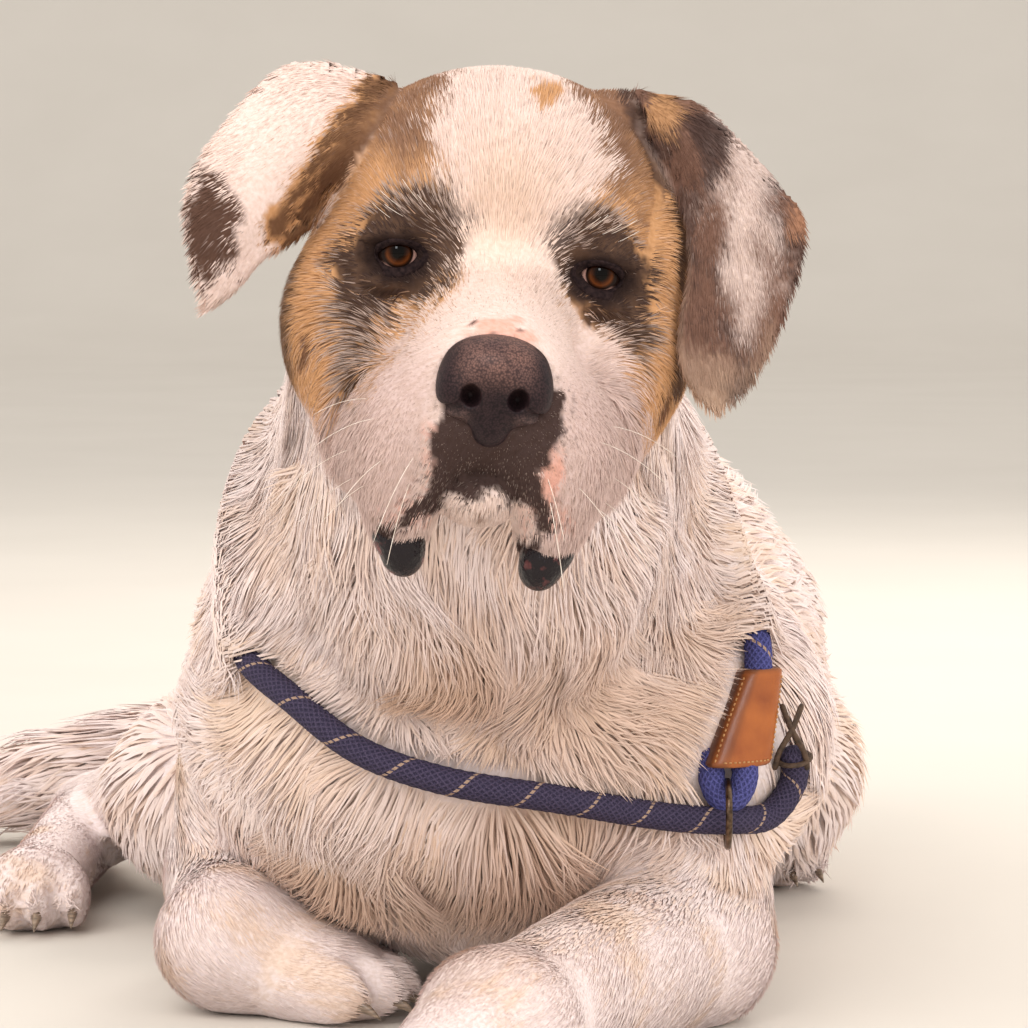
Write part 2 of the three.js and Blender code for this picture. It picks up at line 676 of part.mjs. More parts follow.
// The slip loop: a rope sunk in the coat, one end in a leather sleeve and the other through its ring.
const RING_CENTRE = point(123, 189, 129);
const RING_RADIUS = 18.8;
const ROPE_SUNK = 8;
const loopBehind = [
  point(152, 245, 285), point(135, 300, 335), point(85, 345, 385), point(0, 368, 410),
  point(-85, 352, 395), point(-145, 300, 345), point(-176, 240, 285),
];
const loopInFront = [
  point(-158, 207, 225), point(-122, 167, 195), point(-87, 148, 171), point(-42, 139, 156),
  point(26, 150, 143), point(78, 179, 130),
];
const ropePath = [
  point(141, 207, 200), point(141, 219, 226),
  ...[...loopBehind, ...loopInFront].map((p) => settle(bodyField, p, -ROPE_SUNK)),
  point(104, 187, 126), point(RING_CENTRE.x, RING_CENTRE.y + 2, RING_CENTRE.z - 4),
  point(149, 214, 125), point(163, 222, 144), point(162, 217, 165),
];
const ropeCurve = new THREE.CatmullRomCurve3(ropePath, false, 'centripetal');
const ROPE_STEPS = 36;
const ropeForm = () => solid(tube(ropeCurve, ROPE_RADIUS, ROPE_STEPS, 8));
const ropeGroove = () => {
  const radius = (ROPE_RADIUS + 1.6 * GAP) / Math.cos(Math.PI / 6);
  return solid(tube(ropeCurve, radius, ROPE_STEPS, 6));
};

const fromRing = (x, y, z) => RING_CENTRE.clone().add(point(x, y, z));
function spliceForm(by) {
  const lobes = [[-9.9, 7.4, 20, 13.5], [10.5, 8, 20, 13.5]].map(([x, halfWidth, z, halfHeight]) =>
    solid(ellipsoid(fromRing(x, 2, z), point(halfWidth + by, 8 + by, halfHeight + by), 8, 6)),
  );
  return join([...lobes, solid(ellipsoid(fromRing(0.3, 0, 10.4), point(13, 5.4 + by, 5.4 + by), 7, 6))]);
}
const ringForm = (by) => {
  const ring = new THREE.TorusGeometry(RING_RADIUS, 2 + by, 5, 18).rotateY(Math.PI / 2);
  return solid(ring.translate(RING_CENTRE.x, RING_CENTRE.y, RING_CENTRE.z));
};
function sleeveForm(by) {
  const bottom = fromRing(5.6, 5, 27.5 - by);
  const top = fromRing(19.5, 23, 82 + by);
  const across = point(1, 0.55, 0).normalize();
  const out = point(-across.y, across.x, 0);
  const sides = 16;
  const rows = [[0, 21], [0.5, 17.5], [1, 13]].map(([share, halfWidth]) => {
    const centre = bottom.clone().lerp(top, share);
    return Array.from({ length: sides }, (_, side) => {
      const angle = (2 * Math.PI * side) / sides;
      const width = (halfWidth + by) * Math.sign(Math.cos(angle)) * Math.abs(Math.cos(angle)) ** 0.7;
      return centre.clone().addScaledVector(across, width).addScaledVector(out, (11 + by) * Math.sin(angle));
    });
  });
  return solid(closedFromRows(rows, bottom, top));
}
function thongForm(by) {
  const end = ropeCurve.getPointAt(0.985);
  const along = ropeCurve.getTangentAt(0.985);
  const knot = new THREE.TorusGeometry(ROPE_RADIUS + 1.6, 2 + by, 4, 8);
  knot.applyQuaternion(new THREE.Quaternion().setFromUnitVectors(UP, along)).translate(end.x, end.y, end.z);
  const front = end.clone().add(point(0, -ROPE_RADIUS - 2, 6));
  const tails = [-1, 1].map((s) =>
    solid(tube(new THREE.CatmullRomCurve3([
      front.clone().add(point(s * 6, 1, -14)), front, front.clone().add(point(-s * 5, 2, 20)),
    ]), 1.9 + by, 4, 4)),
  );
  return join([solid(knot), ...tails]);
}

// Parting and naming. A room is a form one gap larger, cut out of whatever meets that form.
const skull = headForm(0);
const skullRoom = headForm(GAP);
const jaw = jawForm(0);
const jawRoom = jawForm(GAP);
const eyeBall = (s, by) => {
  const radius = EYE_RADIUS + by;
  return solid(inHead(ellipsoid(eyeAt(s), point(radius, radius, radius), 12, 7)));
};
const noseRoom = noseForm(GAP);
const neckRoom = neckForm(GAP);
const torsoRoom = torsoForm(GAP);
const ropeRoom = ropeGroove();
const ringRoom = ringForm(GAP);
const loopRooms = [ropeRoom, ringRoom, spliceForm(GAP), sleeveForm(GAP), thongForm(GAP)];
const bodyRooms = [torsoRoom, neckRoom, forelegForm('left', GAP)];
const sideName = (s) => (s < 0 ? 'right' : 'left');
const random = seeded(11);

const lids = join([skull, ...bothSides(lidBall)]);
const eyeHollows = [...bothSides(eyeOpening), ...bothSides((s) => eyeBall(s, GAP))];
node('head', cut(lids, noseRoom, ...eyeHollows), FACE_COAT);
node('nose', cut(noseForm(0), ...nostrils), NOSE_LEATHER, ofHead(0, 6 - MUZZLE_LENGTH, -60));
node('lower_jaw', cut(jaw, skullRoom), FACE_COAT, ofHead(0, -40, -112));
for (const s of [-1, 1]) {
  node(`eye_${sideName(s)}`, eyeBall(s, 0), EYE_SURFACE, ofHead(...eyeAt(s).toArray()));
  const lip = cut(lipForm(s, 0), skullRoom, jawRoom, neckRoom);
  node(`lip_${sideName(s)}`, lip, LIP_SKIN, ofHead(s * 37, -62, -150));
}
node('ear_right', cut(ear(RIGHT_EAR, 0), skullRoom, neckRoom), PALE_EAR_COAT, ofHead(-84, 44, 60));
node('ear_left', cut(ear(LEFT_EAR, 0), skullRoom, neckRoom), PATCH_COAT, ofHead(72, 46, 86));

const lipRooms = bothSides((s) => lipForm(s, GAP));
const headRooms = [skullRoom, jawRoom, ...lipRooms, ear(RIGHT_EAR, GAP), ear(LEFT_EAR, GAP)];
const coatRoots = rootsRound(COAT_SPINE, coreField, { rows: 11, around: 12, random, up: point(0, 0.5, 1) });
const neckRoots = coatRoots.filter((p) => intoNeck(p) > ROOT_CLEARANCE);
const neckLocks = locksOn(neckRoots, coreField, bodyLie, random, NECK_LOCK, [...headRooms, ...loopRooms]);
const neckWhole = join([neckForm(0), ...neckLocks]).intersect(neckZone(0));
const neck = cut(neckWhole, skullRoom, jawRoom, ropeRoom, ringRoom, belowFloor);
node('neck', neck, WHITE_COAT, point(-15, 180, 350));

const forepaw = (side, by) => {
  const { wrist, toes } = FORELEG[side];
  return pawForm(wrist.clone().lerp(toes, 0.1), toes, 44, 32, by);
};
const wristPlane = (side) => {
  const { wrist, toes } = FORELEG[side];
  return { normal: toes.clone().sub(wrist).setZ(0).normalize(), at: wrist.clone().lerp(toes, 0.15) };
};
const hindpaw = (side, by) => {
  const { hock, toes } = HINDLEG[side];
  return pawForm(hock.clone().lerp(toes, 0.1), toes, 33, 29, by);
};
const SIDES = ['left', 'right'];
const legRooms = SIDES.flatMap((side) => [forelegForm(side, GAP), forepaw(side, GAP)]);
const onShoulder = (p) => p.y > CHEST_REAR && p.y < COAT_REAR;
const roundChest = rootsRound(CHEST_SPINE, coreField, { rows: 3, around: 14, random });
const frontRoots = roundChest.filter((p) => p.y < CHEST_REAR);
const chestRoots = [...coatRoots.filter(onShoulder), ...frontRoots]
  .filter((p) => intoNeck(p) < -ROOT_CLEARANCE && p.z > COAT_FLOOR);
const chestLocks = locksOn(chestRoots, coreField, bodyLie, random, CHEST_LOCK, [...legRooms, ...loopRooms]);
const torsoWhole = cut(join([torsoForm(0), ...chestLocks]), neckZone(GAP));
node('torso', cut(torsoWhole, ropeRoom, ringRoom, belowFloor), WHITE_COAT, point(20, 480, 200));

const TAIL_JOINT = 0.42;
const tailJoint = { normal: tailCurve.getTangentAt(TAIL_JOINT), at: tailCurve.getPointAt(TAIL_JOINT) };
const towardsRoot = { normal: tailJoint.normal.clone().negate(), at: tailJoint.at };
const hindRooms = SIDES.flatMap((side) => [thighForm(side, GAP), shankForm(side, GAP), hindpaw(side, GAP)]);
const clearOfTail = [torsoRoom, belowFloor, ...hindRooms];
const tailLocks = (roots, beyond) =>
  locksOn(roots, tailField, tailLie, random, TAIL_LOCK, [...clearOfTail, halfSpace(beyond, GAP)]);
const rootLocks = tailLocks(tailRoots(0.06, TAIL_JOINT, 3, random), tailJoint);
const tipLocks = tailLocks(tailRoots(TAIL_JOINT, 1, 4, random), towardsRoot);
const tailRoot = join([tailForm(0, TAIL_JOINT - 0.0005, 7, 0), ...rootLocks]);
const tailTip = join([tailForm(TAIL_JOINT, 1, 9, 0), ...tipLocks]);
node('tail_root', cut(tailRoot, torsoRoom, belowFloor), WHITE_COAT, point(40, 1015, 92));
node('tail_tip', cut(tailTip, belowFloor), WHITE_COAT, point(-210, 935, 56));

for (const side of SIDES) {
  const { elbow, wrist } = FORELEG[side];
  const beyondWrist = halfSpace(wristPlane(side), 0);
  const pawZone = halfSpace(wristPlane(side), GAP);
  const leg = cut(forelegForm(side, 0), torsoRoom, pawZone, ropeRoom, ringRoom, belowFloor);
  node(`foreleg_${side}`, leg, WHITE_COAT, elbow);
  const paw = cut(forepaw(side, 0).intersect(beyondWrist), torsoRoom, belowFloor);
  node(`forepaw_${side}`, paw, WHITE_COAT, wrist);
  const { knee, hock, toes } = HINDLEG[side];
  const thighRoom = thighForm(side, GAP);
  const shankRoom = shankForm(side, GAP);
  const clear = [torsoRoom, shankRoom, hindpaw(side, GAP), tailRoot, tailTip, belowFloor];
  const breeches = locksOn(
    breechesRoots(side, random), thighField(side), breechesLie, random, BREECHES_LOCK, clear,
  );
  const thigh = join([thighForm(side, 0), ...breeches]);
  node(`thigh_${side}`, cut(thigh, torsoRoom, belowFloor), WHITE_COAT, knee);
  node(`hindleg_${side}`, cut(shankForm(side, 0), thighRoom, torsoRoom, belowFloor), WHITE_COAT, hock);
  const hindfoot = cut(hindpaw(side, 0), shankRoom, thighRoom, torsoRoom, belowFloor);
  node(`hindpaw_${side}`, hindfoot, WHITE_COAT, toes);
}

node('slip_loop_rope', cut(ropeForm(), sleeveForm(GAP)), ROPE_WEAVE, RING_CENTRE);
const splice = cut(spliceForm(0), sleeveForm(GAP), ringRoom, ...bodyRooms);
node('slip_loop_splice', splice, BRIGHT_ROPE, RING_CENTRE);
node('slip_loop_sleeve', cut(sleeveForm(0), ...bodyRooms), TAN_LEATHER, fromRing(10, 10, 55));
node('slip_loop_ring', ringForm(0), DARK_METAL, RING_CENTRE);
node('slip_loop_thong', cut(thongForm(0), ropeRoom, ...bodyRooms), DARK_LEATHER, ropeCurve.getPointAt(0.985));

// The origin is the centre of the floor area that the dog covers.
const bounds = new THREE.Box3().setFromObject(dog);
const origin = bounds.getCenter(point(0, 0, 0)).setZ(bounds.min.z);
dog.children.forEach((mesh) => mesh.position.sub(origin));

export default dog;
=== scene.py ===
"""A Saint Bernard lying with its head up, wearing a rope slip loop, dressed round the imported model.

Sizes are millimetres in the dog's own frame: x to its left, y towards its tail, z up from the floor,
with the eyes in the plane y = 0. to_frame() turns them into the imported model's metres.
"""
import math

import bpy
import numpy as np
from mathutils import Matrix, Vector, kdtree


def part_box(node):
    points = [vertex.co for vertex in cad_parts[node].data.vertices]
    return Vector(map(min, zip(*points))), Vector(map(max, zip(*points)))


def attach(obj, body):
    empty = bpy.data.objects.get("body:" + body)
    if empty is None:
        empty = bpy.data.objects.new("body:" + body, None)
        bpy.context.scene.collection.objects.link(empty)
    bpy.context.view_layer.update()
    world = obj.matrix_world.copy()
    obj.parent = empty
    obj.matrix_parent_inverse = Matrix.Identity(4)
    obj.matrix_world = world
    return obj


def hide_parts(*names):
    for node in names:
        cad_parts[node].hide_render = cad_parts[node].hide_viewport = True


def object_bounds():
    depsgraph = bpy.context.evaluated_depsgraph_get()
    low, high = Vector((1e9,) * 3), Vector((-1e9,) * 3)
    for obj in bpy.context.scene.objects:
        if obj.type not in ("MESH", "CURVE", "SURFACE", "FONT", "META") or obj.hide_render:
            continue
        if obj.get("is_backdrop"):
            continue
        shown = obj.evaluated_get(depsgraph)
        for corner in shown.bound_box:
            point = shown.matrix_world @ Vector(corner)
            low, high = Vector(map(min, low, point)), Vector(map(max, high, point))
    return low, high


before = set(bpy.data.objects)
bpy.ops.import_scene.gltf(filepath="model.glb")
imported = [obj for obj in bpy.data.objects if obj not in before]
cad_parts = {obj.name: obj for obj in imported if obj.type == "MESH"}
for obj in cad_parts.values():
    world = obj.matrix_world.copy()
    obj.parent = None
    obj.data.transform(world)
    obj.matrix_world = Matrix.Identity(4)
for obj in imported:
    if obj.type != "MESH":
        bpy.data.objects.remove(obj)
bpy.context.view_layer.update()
rng = np.random.default_rng(20)

# Driving dimensions
EYES_FROM_FLOOR = 450
EYE_SPACING = 108
EYE_RADIUS = 12.5
HEAD_ROLL = 6.2
HEAD_YAW = 2.5
MUZZLE_LENGTH = 112
SKULL_HALF_WIDTH = 94
CHEST_HALF_WIDTH = 165
ROPE_RADIUS = 8.5
FLOOR_GAP = 0.5
FACE_DEPTH = 2.2
LEG_DEPTH = 6
TRUNK_DEPTH = 11
CHEST_DEPTH = 17
NOSE_TIP = np.array([0, -118, -50.0])


def turned(axis, degrees):
    """The matrix of a turn about one axis, which a row of points is multiplied by from the right."""
    c, s = math.cos(math.radians(degrees)), math.sin(math.radians(degrees))
    if axis == "y":
        return np.array([[c, 0, -s], [0, 1, 0], [s, 0, c]])
    return np.array([[c, s, 0], [-s, c, 0], [0, 0, 1]])


HEAD_TURN = turned("y", HEAD_ROLL) @ turned("z", HEAD_YAW)
HEAD_AT = np.array([-8, 0, EYES_FROM_FLOOR])


def of_head(p):
    return np.asarray(p, float) @ HEAD_TURN + HEAD_AT


def to_head(p):
    return (p - HEAD_AT) @ HEAD_TURN.T


eye_low, eye_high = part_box("eye_left")
SHIFT = np.array(eye_low + eye_high) * 500 - of_head([EYE_SPACING / 2, 0, 0])


def to_frame(p):
    return (np.asarray(p, float) + SHIFT) / 1000


def smooth(x, low, high):
    t = np.clip((x - low) / (high - low), 0, 1)
    return t * t * (3 - 2 * t)


def length_of(v):
    return np.sqrt(np.einsum("ij,ij->i", v, v))


def unit(v):
    return v / np.maximum(length_of(v), 1e-9)[:, None]


# Smooth noise: sums of waves in directions drawn once from a seed
def waves(seed, size, count=7):
    draw = np.random.default_rng(seed)
    directions = unit(draw.normal(size=(count, 3))) / size * draw.uniform(0.6, 1.6, (count, 1))
    phases = draw.uniform(0, 2 * math.pi, count)
    return lambda p: np.sin(p @ directions.T * 2 * math.pi + phases).sum(1) / math.sqrt(count)


# Distance fields, negative inside
def egg(centre, radii, turn=0):
    centre, radii = np.array(centre, float), np.array(radii, float)
    spin = turned("y", turn).T

    def field(p):
        q = p - centre
        if turn:
            q = q @ spin
        near = length_of(q / radii)
        return near * (near - 1) / np.maximum(length_of(q / radii**2), 1e-9)

    return field


def limb(a, b, radius_a, radius_b):
    a, along = np.array(a, float), np.array(b, float) - np.array(a, float)

    def field(p):
        q = p - a
        share = np.clip(q @ along / (along @ along), 0, 1)
        return length_of(q - share[:, None] * along) - radius_a - (radius_b - radius_a) * share

    return field


def smooth_least(softness, a, b):
    h = np.maximum(softness - np.abs(a - b), 0) / softness
    return np.minimum(a, b) - h * h * softness / 4


def blend(softness, *fields):
    def field(p):
        least = fields[0](p)
        for other in fields[1:]:
            least = smooth_least(softness, least, other(p))
        return least

    return field


def carve(softness, field, *cuts):
    def carved(p):
        most = -field(p)
        for cut in cuts:
            most = smooth_least(softness, most, cut(p))
        return -most

    return carved


def bounded(field, low, high, margin=60):
    """The field, worked out only near its own box. Further off it is a safe distance."""
    low, high = np.array(low, float) - margin, np.array(high, float) + margin

    def near(p):
        away = np.maximum(np.maximum(low - p, p - high).max(1), 0)
        d = away + margin * 0.7
        here = away == 0
        if here.any():
            d[here] = field(p[here])
        return d

    return near


def slope(field, p, step=0.6):
    ahead = [field(p + step * axis) for axis in np.eye(3)]
    behind = [field(p - step * axis) for axis in np.eye(3)]
    return (np.stack(ahead, 1) - np.stack(behind, 1)) / (2 * step)


def settle(field, p, height, rounds=5):
    p = np.array(p, float)
    for _ in range(rounds):
        g = slope(field, p)
        p = p + g * ((height - field(p)) / np.maximum(length_of(g) ** 2, 1e-6))[:, None]
    return p


def curve_points(points, count, fine=24):
    """Equally spaced points on a centripetal Catmull-Rom curve through the given ones."""
    p = np.array(points, float)
    p = np.vstack([2 * p[0] - p[1], p, 2 * p[-1] - p[-2]])
    line = []
    for a, b, c, d in zip(p, p[1:], p[2:], p[3:]):
        gaps = [max(np.linalg.norm(v) ** 0.5, 1e-4) for v in (b - a, c - b, d - c)]
        out = ((b - a) / gaps[0] - (c - a) / (gaps[0] + gaps[1]) + (c - b) / gaps[1]) * gaps[1]
        back = ((c - b) / gaps[1] - (d - b) / (gaps[1] + gaps[2]) + (d - c) / gaps[2]) * gaps[1]
        t = np.arange(fine)[:, None] / fine
        line.append(
            (2 * t**3 - 3 * t**2 + 1) * b + (t**3 - 2 * t**2 + t) * out
            + (3 * t**2 - 2 * t**3) * c + (t**3 - t**2) * back
        )
    line = np.vstack([*line, p[-2:-1]])
    run = np.concatenate([[0], np.cumsum(length_of(np.diff(line, axis=0)))])
    at = np.linspace(0, run[-1], count)
    return np.stack([np.interp(at, run, line[:, i]) for i in range(3)], 1)


def chain(points, radii):
    """Round bars from point to point."""
    bars = [limb(a, b, ra, rb) for a, b, ra, rb in zip(points, points[1:], radii, radii[1:])]
    return lambda p: np.min([bar(p) for bar in bars], axis=0)


def both(make):
    return [make(-1), make(1)]


# Trunk and neck
trunk_outline = blend(
    50,
    egg((-24, 285, 195), (CHEST_HALF_WIDTH, 160, 168)),
    egg((-104, 305, 185), (84, 100, 100)),
    egg((108, 282, 165), (84, 100, 100)),
    egg((26, 500, 174), (170, 255, 178)),
    limb((-10, 345, 338), (38, 720, 285), 66, 66),
    egg((54, 700, 165), (164, 200, 150)),
    egg((62, 850, 160), (148, 150, 161)),
)
neck_outline = blend(
    40,
    limb((-14, 95, 430), (-20, 255, 300), 103, 138),
    egg((-18, 140, 285), (100, 70, 95)),
)
body_outline = blend(36, neck_outline, trunk_outline)


def body_depth(p):
    chest = 1 - smooth(p[:, 1], 190, 330)
    return (TRUNK_DEPTH + (CHEST_DEPTH - TRUNK_DEPTH) * chest) * smooth(p[:, 2], 4, 60)


def inset(outline, depth):
    return lambda p: outline(p) + depth


# Head, in its own frame
head_outline = carve(
    6,
    blend(
        26,
        egg((0, 74, 30), (SKULL_HALF_WIDTH, 92, 76)),
        egg((0, 30, 46), (70, 48, 52)),
        *both(lambda s: egg((s * 42, 6, 24), (27, 22, 16))),
        *both(lambda s: egg((s * 66, 54, -38), (46, 62, 62))),
        limb((0, 6, -36), (0, 30 - MUZZLE_LENGTH, -58), 46, 38),
        *both(lambda s: egg((s * 30, -60, -84), (33, 44, 38))),
        *both(lambda s: egg((s * 42, -42, -112), (24, 44, 48), s * 8)),
        *both(lambda s: egg((s * 56, 12, -90), (30, 52, 42))),
        egg((0, 50, -84), (60, 60, 44)),
    ),
    *both(lambda s: egg((s * 56, -20, 0), (15, 12, 10))),
    egg((0, -66, -153), (19, 44, 32)),
)
jaw_outline = blend(
    14,
    egg((0, -62, -116), (25, 30, 18)),
    limb((0, -50, -112), (0, 10, -104), 22, 34),
)
nose_bed = egg((0, -104, -58), (25, 17, 20))
# Folds that only the skin has: over the brow, below the eye, behind the muzzle and in the flews
brow_lids = both(lambda s: egg((s * 55, -6, 10), (22, 12, 8), s * 10))
lid_balls = both(lambda s: egg((s * 54, 0, 0), (17, 14.8, 15)))
pouches = both(lambda s: egg((s * 54, -6, -15), (19, 9, 7), s * 6))
fold_lines = [
    *both(lambda s: chain(
        [(s * 30, -34, 17), (s * 46, -30, 26), (s * 66, -16, 23), (s * 80, 0, 10)], [2.4, 3, 3, 2])),
    *both(lambda s: chain(
        [(s * 34, -44, -6), (s * 46, -32, -24), (s * 66, -20, -26), (s * 82, 4, -14)], [2, 2.8, 2.6, 2])),
    *both(lambda s: chain(
        [(s * 62, -40, -52), (s * 74, -22, -84), (s * 80, -6, -116)], [2.5, 4, 3])),
    chain([(0, -52, 34), (0, -40, 62)], [2.4, 1.5]),
    chain([(0, -128, -84), (0, -118, -100), (0, -108, -122)], [1.6, 2.2, 2]),
]
# Flesh that fills the hollow between the left ear and the skull
EAR_BEDS = [
    egg((81, 49, 4), (25, 42, 48)),
    egg((86, 56, 46), (21, 32, 38)),
    egg((58, 58, 83), (24, 24, 17)),
]
eye_holes = both(lambda s: egg((s * 54.5, -14, -0.8), (12.4, 16, 8.0)))
face_skin = carve(
    5,
    blend(7, head_outline, *EAR_BEDS, *brow_lids, *lid_balls, *pouches),
    *fold_lines,
    nose_bed,
)


def head_skin(q):
    d = np.minimum(face_skin(q), jaw_outline(q)) + FACE_DEPTH
    for hole in eye_holes:
        d = np.maximum(d, -hole(q))
    return d


# Ears: a leaf between its front and rear edges, in the head's frame, as a sheet y over (x, z)
EAR_HALF = 3.2
EAR_CAMBER = 9
EAR_CUP = 17
RIGHT_EAR = (
    [(-84, 44, 30), (-114, 34, -2), (-124, 24, -8), (-140, 16, -32), (-152, 14, -41)],
    [(-62, 52, 92), (-118, 40, 96), (-152, 26, 59), (-168, 16, 20), (-158, 12, -26), (-152, 14, -41)],
)
LEFT_EAR = (
    [(72, 40, 78), (94, 26, 48), (104, 16, 12), (101, 10, -24), (107, 8, -50), (124, 10, -66)],
    [(66, 56, 100), (100, 50, 97), (146, 40, 60), (162, 32, 42), (158, 22, -4), (140, 12, -50),
     (124, 10, -66)],
)


def polygon_distance(outline, x, z):
    """Distance to a closed outline in a plane, negative inside."""
    outline = np.array(outline, float)
    p = np.stack([x, z], 1)
    least = np.full(len(p), 1e9)
    inside = np.zeros(len(p), bool)
    for a, b in zip(outline, np.roll(outline, -1, 0)):
        edge = b - a
        q = p - a
        share = np.clip(q @ edge / max(edge @ edge, 1e-9), 0, 1)
        least = np.minimum(least, length_of(q - share[:, None] * edge))
        crosses = (a[1] > p[:, 1]) != (b[1] > p[:, 1])
        rise = b[1] - a[1] if abs(b[1] - a[1]) > 1e-9 else 1e-9
        inside ^= crosses & (p[:, 0] < a[0] + (p[:, 1] - a[1]) / rise * edge[0])
    return np.where(inside, -least, least)


def ear_leaf(front, rear, cell=2.0, pad=24):
    """The ear's field."""
    share = np.linspace(0, 1, 36)[:, None, None]
    across = np.linspace(0, 1, 15)[None, :, None]
    a, b = curve_points(front, 36)[:, None], curve_points(rear, 36)[:, None]
    sheet = a + (b - a) * across
    cup = EAR_CUP * (1 - smooth(share, 0.1, 0.6)) + EAR_CAMBER * np.sin(np.pi * (0.25 + 0.6 * share))
    sheet = sheet - np.array([0, 1, 0]) * np.sin(np.pi * across) * cup
    samples = sheet.reshape(-1, 3)
    outline = np.vstack([a[:, 0], b[::-1, 0]])[:, [0, 2]]
    low = outline.min(0) - pad
    count = np.ceil((outline.max(0) + pad - low) / cell).astype(int) + 1
    gx, gz = np.meshgrid(*(low[i] + cell * np.arange(count[i]) for i in (0, 1)), indexing="ij")
    flat = np.stack([gx.ravel(), gz.ravel()], 1)
    spread = ((flat[:, None] - samples[None, :, [0, 2]]) ** 2).sum(2) / 60
    weight = np.exp(-(spread - spread.min(1, keepdims=True)))
    height = ((weight * samples[:, 1]).sum(1) / weight.sum(1)).reshape(gx.shape)
    edge = polygon_distance(outline, flat[:, 0], flat[:, 1]).reshape(gx.shape)
    lean = 1 / np.sqrt(1 + sum(g**2 for g in np.gradient(height, cell)))

    def look(table, q):
        at = (q[:, [0, 2]] - low) / cell
        at = np.clip(at, 0, np.array(table.shape) - 1.001)
        i = at.astype(int)
        f = at - i
        i0, i1 = i.T
        near = table[i0, i1] * (1 - f[:, 1]) + table[i0, i1 + 1] * f[:, 1]
        far = table[i0 + 1, i1] * (1 - f[:, 1]) + table[i0 + 1, i1 + 1] * f[:, 1]
        return near * (1 - f[:, 0]) + far * f[:, 0]

    front_rim = chain(curve_points(front, 12), np.linspace(3.4, 1.6, 12))

    def field(q):
        inward = look(edge, q) + 1.4
        thick = 0.8 + (EAR_HALF - 0.8) * np.clip(-inward / 16, 0, 1)
        over = np.abs(q[:, 1] - look(height, q)) * look(lean, q) - thick
        outside = np.sqrt(np.maximum(inward, 0) ** 2 + np.maximum(over, 0) ** 2)
        slab = np.where(np.maximum(inward, over) < 0, np.maximum(inward, over), outside)
        return smooth_least(4, slab - 0.6, front_rim(q))

    return field


EAR_TIPS = {"right": np.array([-152, 14, -41.0]), "left": np.array([124, 10, -66.0])}
EAR_ROOTS = {"right": np.array([-74, 48, 64.0]), "left": np.array([70, 48, 90.0])}

# Legs
FORELEG = {
    "left": [(76, 280, 170), (99, 238, 46), (-6, 8, 42), (-60, -112, 24)],
    "right": [(-132, 318, 164), (-161, 385, 58), (-170, 262, 44), (-84, 234, 24)],
}
HINDLEG = {
    "left": [(120, 810, 140), (174, 705, 84), (140, 925, 46), (178, 705, 24)],
    "right": [(-30, 800, 150), (-205, 575, 88), (-296, 800, 38), (-318, 528, 24)],
}
TOE_PLACES = (-1.5, -0.5, 0.5, 1.5)


def paw_axes(wrist, toes):
    along = np.array(toes, float) - np.array(wrist, float)
    along[2] = 0
    along /= np.linalg.norm(along)
    return along, np.array([-along[1], along[0], 0])


def toe_places(wrist, toes):
    """The centre and the heading of each toe."""
    along, across = paw_axes(wrist, toes)
    for place in TOE_PLACES:
        back = -16 if abs(place) > 1 else -2
        heading = math.degrees(math.atan2(along[1], along[0])) - 90 - place * 4.6
        yield np.array([*toes[:2], 21]) - across * place * 19 + along * back, heading


def flat_egg(centre, radii, heading):
    """An egg turned about the upright."""
    inner = egg((0, 0, 0), radii)
    spin = turned("z", heading).T
    return lambda p: inner((p - centre) @ spin)


def paw(wrist, toes, root_radius, front_radius):
    wrist, toes = np.array(wrist, float), np.array(toes, float)
    along, _ = paw_axes(wrist, toes)
    knuckles = toes - 30 * along
    start = wrist + 0.1 * (toes - wrist)
    palm = blend(12, limb(start, knuckles, root_radius, front_radius), egg(knuckles, (38, 38, 30)))
    digits = [flat_egg(at, (13, 27, 22), heading) for at, heading in toe_places(wrist, toes)]
    return blend(7, palm, *digits)


def around(points, radius):
    return np.min(points, axis=0) - radius, np.max(points, axis=0) + radius


def foreleg(side):
    shoulder, elbow, wrist, _ = FORELEG[side]
    forearm = blend(20, limb(elbow, wrist, 57, 42), egg(wrist, (44, 44, 40)))
    both_parts = blend(14, limb(shoulder, elbow, 72, 58), forearm)
    return bounded(inset(both_parts, LEG_DEPTH), *around([shoulder, elbow, wrist], 72))


def thigh(side):
    hip, knee = HINDLEG[side][:2]
    form = blend(30, limb(hip, knee, 104, 64), egg(knee, (66, 72, 64)))
    return bounded(inset(form, TRUNK_DEPTH - 1), *around([hip, knee], 104))


def shank(side):
    _, knee, hock, _ = (np.array(p, float) for p in HINDLEG[side])
    form = blend(12, limb(knee + 0.12 * (hock - knee), hock, 52, 33), egg(hock, (36, 38, 34)))
    return bounded(inset(form, LEG_DEPTH), *around([knee, hock], 52))


def foot(leg, root_radius, front_radius):
    _, _, wrist, toes = leg
    return bounded(inset(paw(wrist, toes, root_radius, front_radius), 3), *around([wrist, toes], 50))


# Tail
TAIL_LINE = [(62, 930, 150), (40, 1025, 88), (-90, 1050, 54), (-210, 985, 50), (-310, 928, 48),
             (-400, 904, 40), (-472, 886, 36)]
TAIL_COAT = 14
TAIL_STEPS = 32
tail_points = curve_points(TAIL_LINE, TAIL_STEPS)
tail_share = np.linspace(0, 1, TAIL_STEPS)
tail_outline = 46 + 16 * np.sin(np.pi * np.minimum(tail_share * 1.15, 1)) - 24 * tail_share**4
tail_radii = tail_outline - TAIL_COAT * smooth(tail_share, 0.05, 0.2)
tail_form = bounded(chain(tail_points, tail_radii), *around(tail_points, 60))

# The regions of the one skin
EARS = ("ear_right", "ear_left")
EAR_EDGES = dict(zip(EARS, (RIGHT_EAR, LEFT_EAR)))
HEAD_BOX = [(x, y, z) for x in (-110, 110) for y in (-140, 175) for z in (-175, 118)]


def in_head_frame(field):
    return lambda p: field(to_head(p))


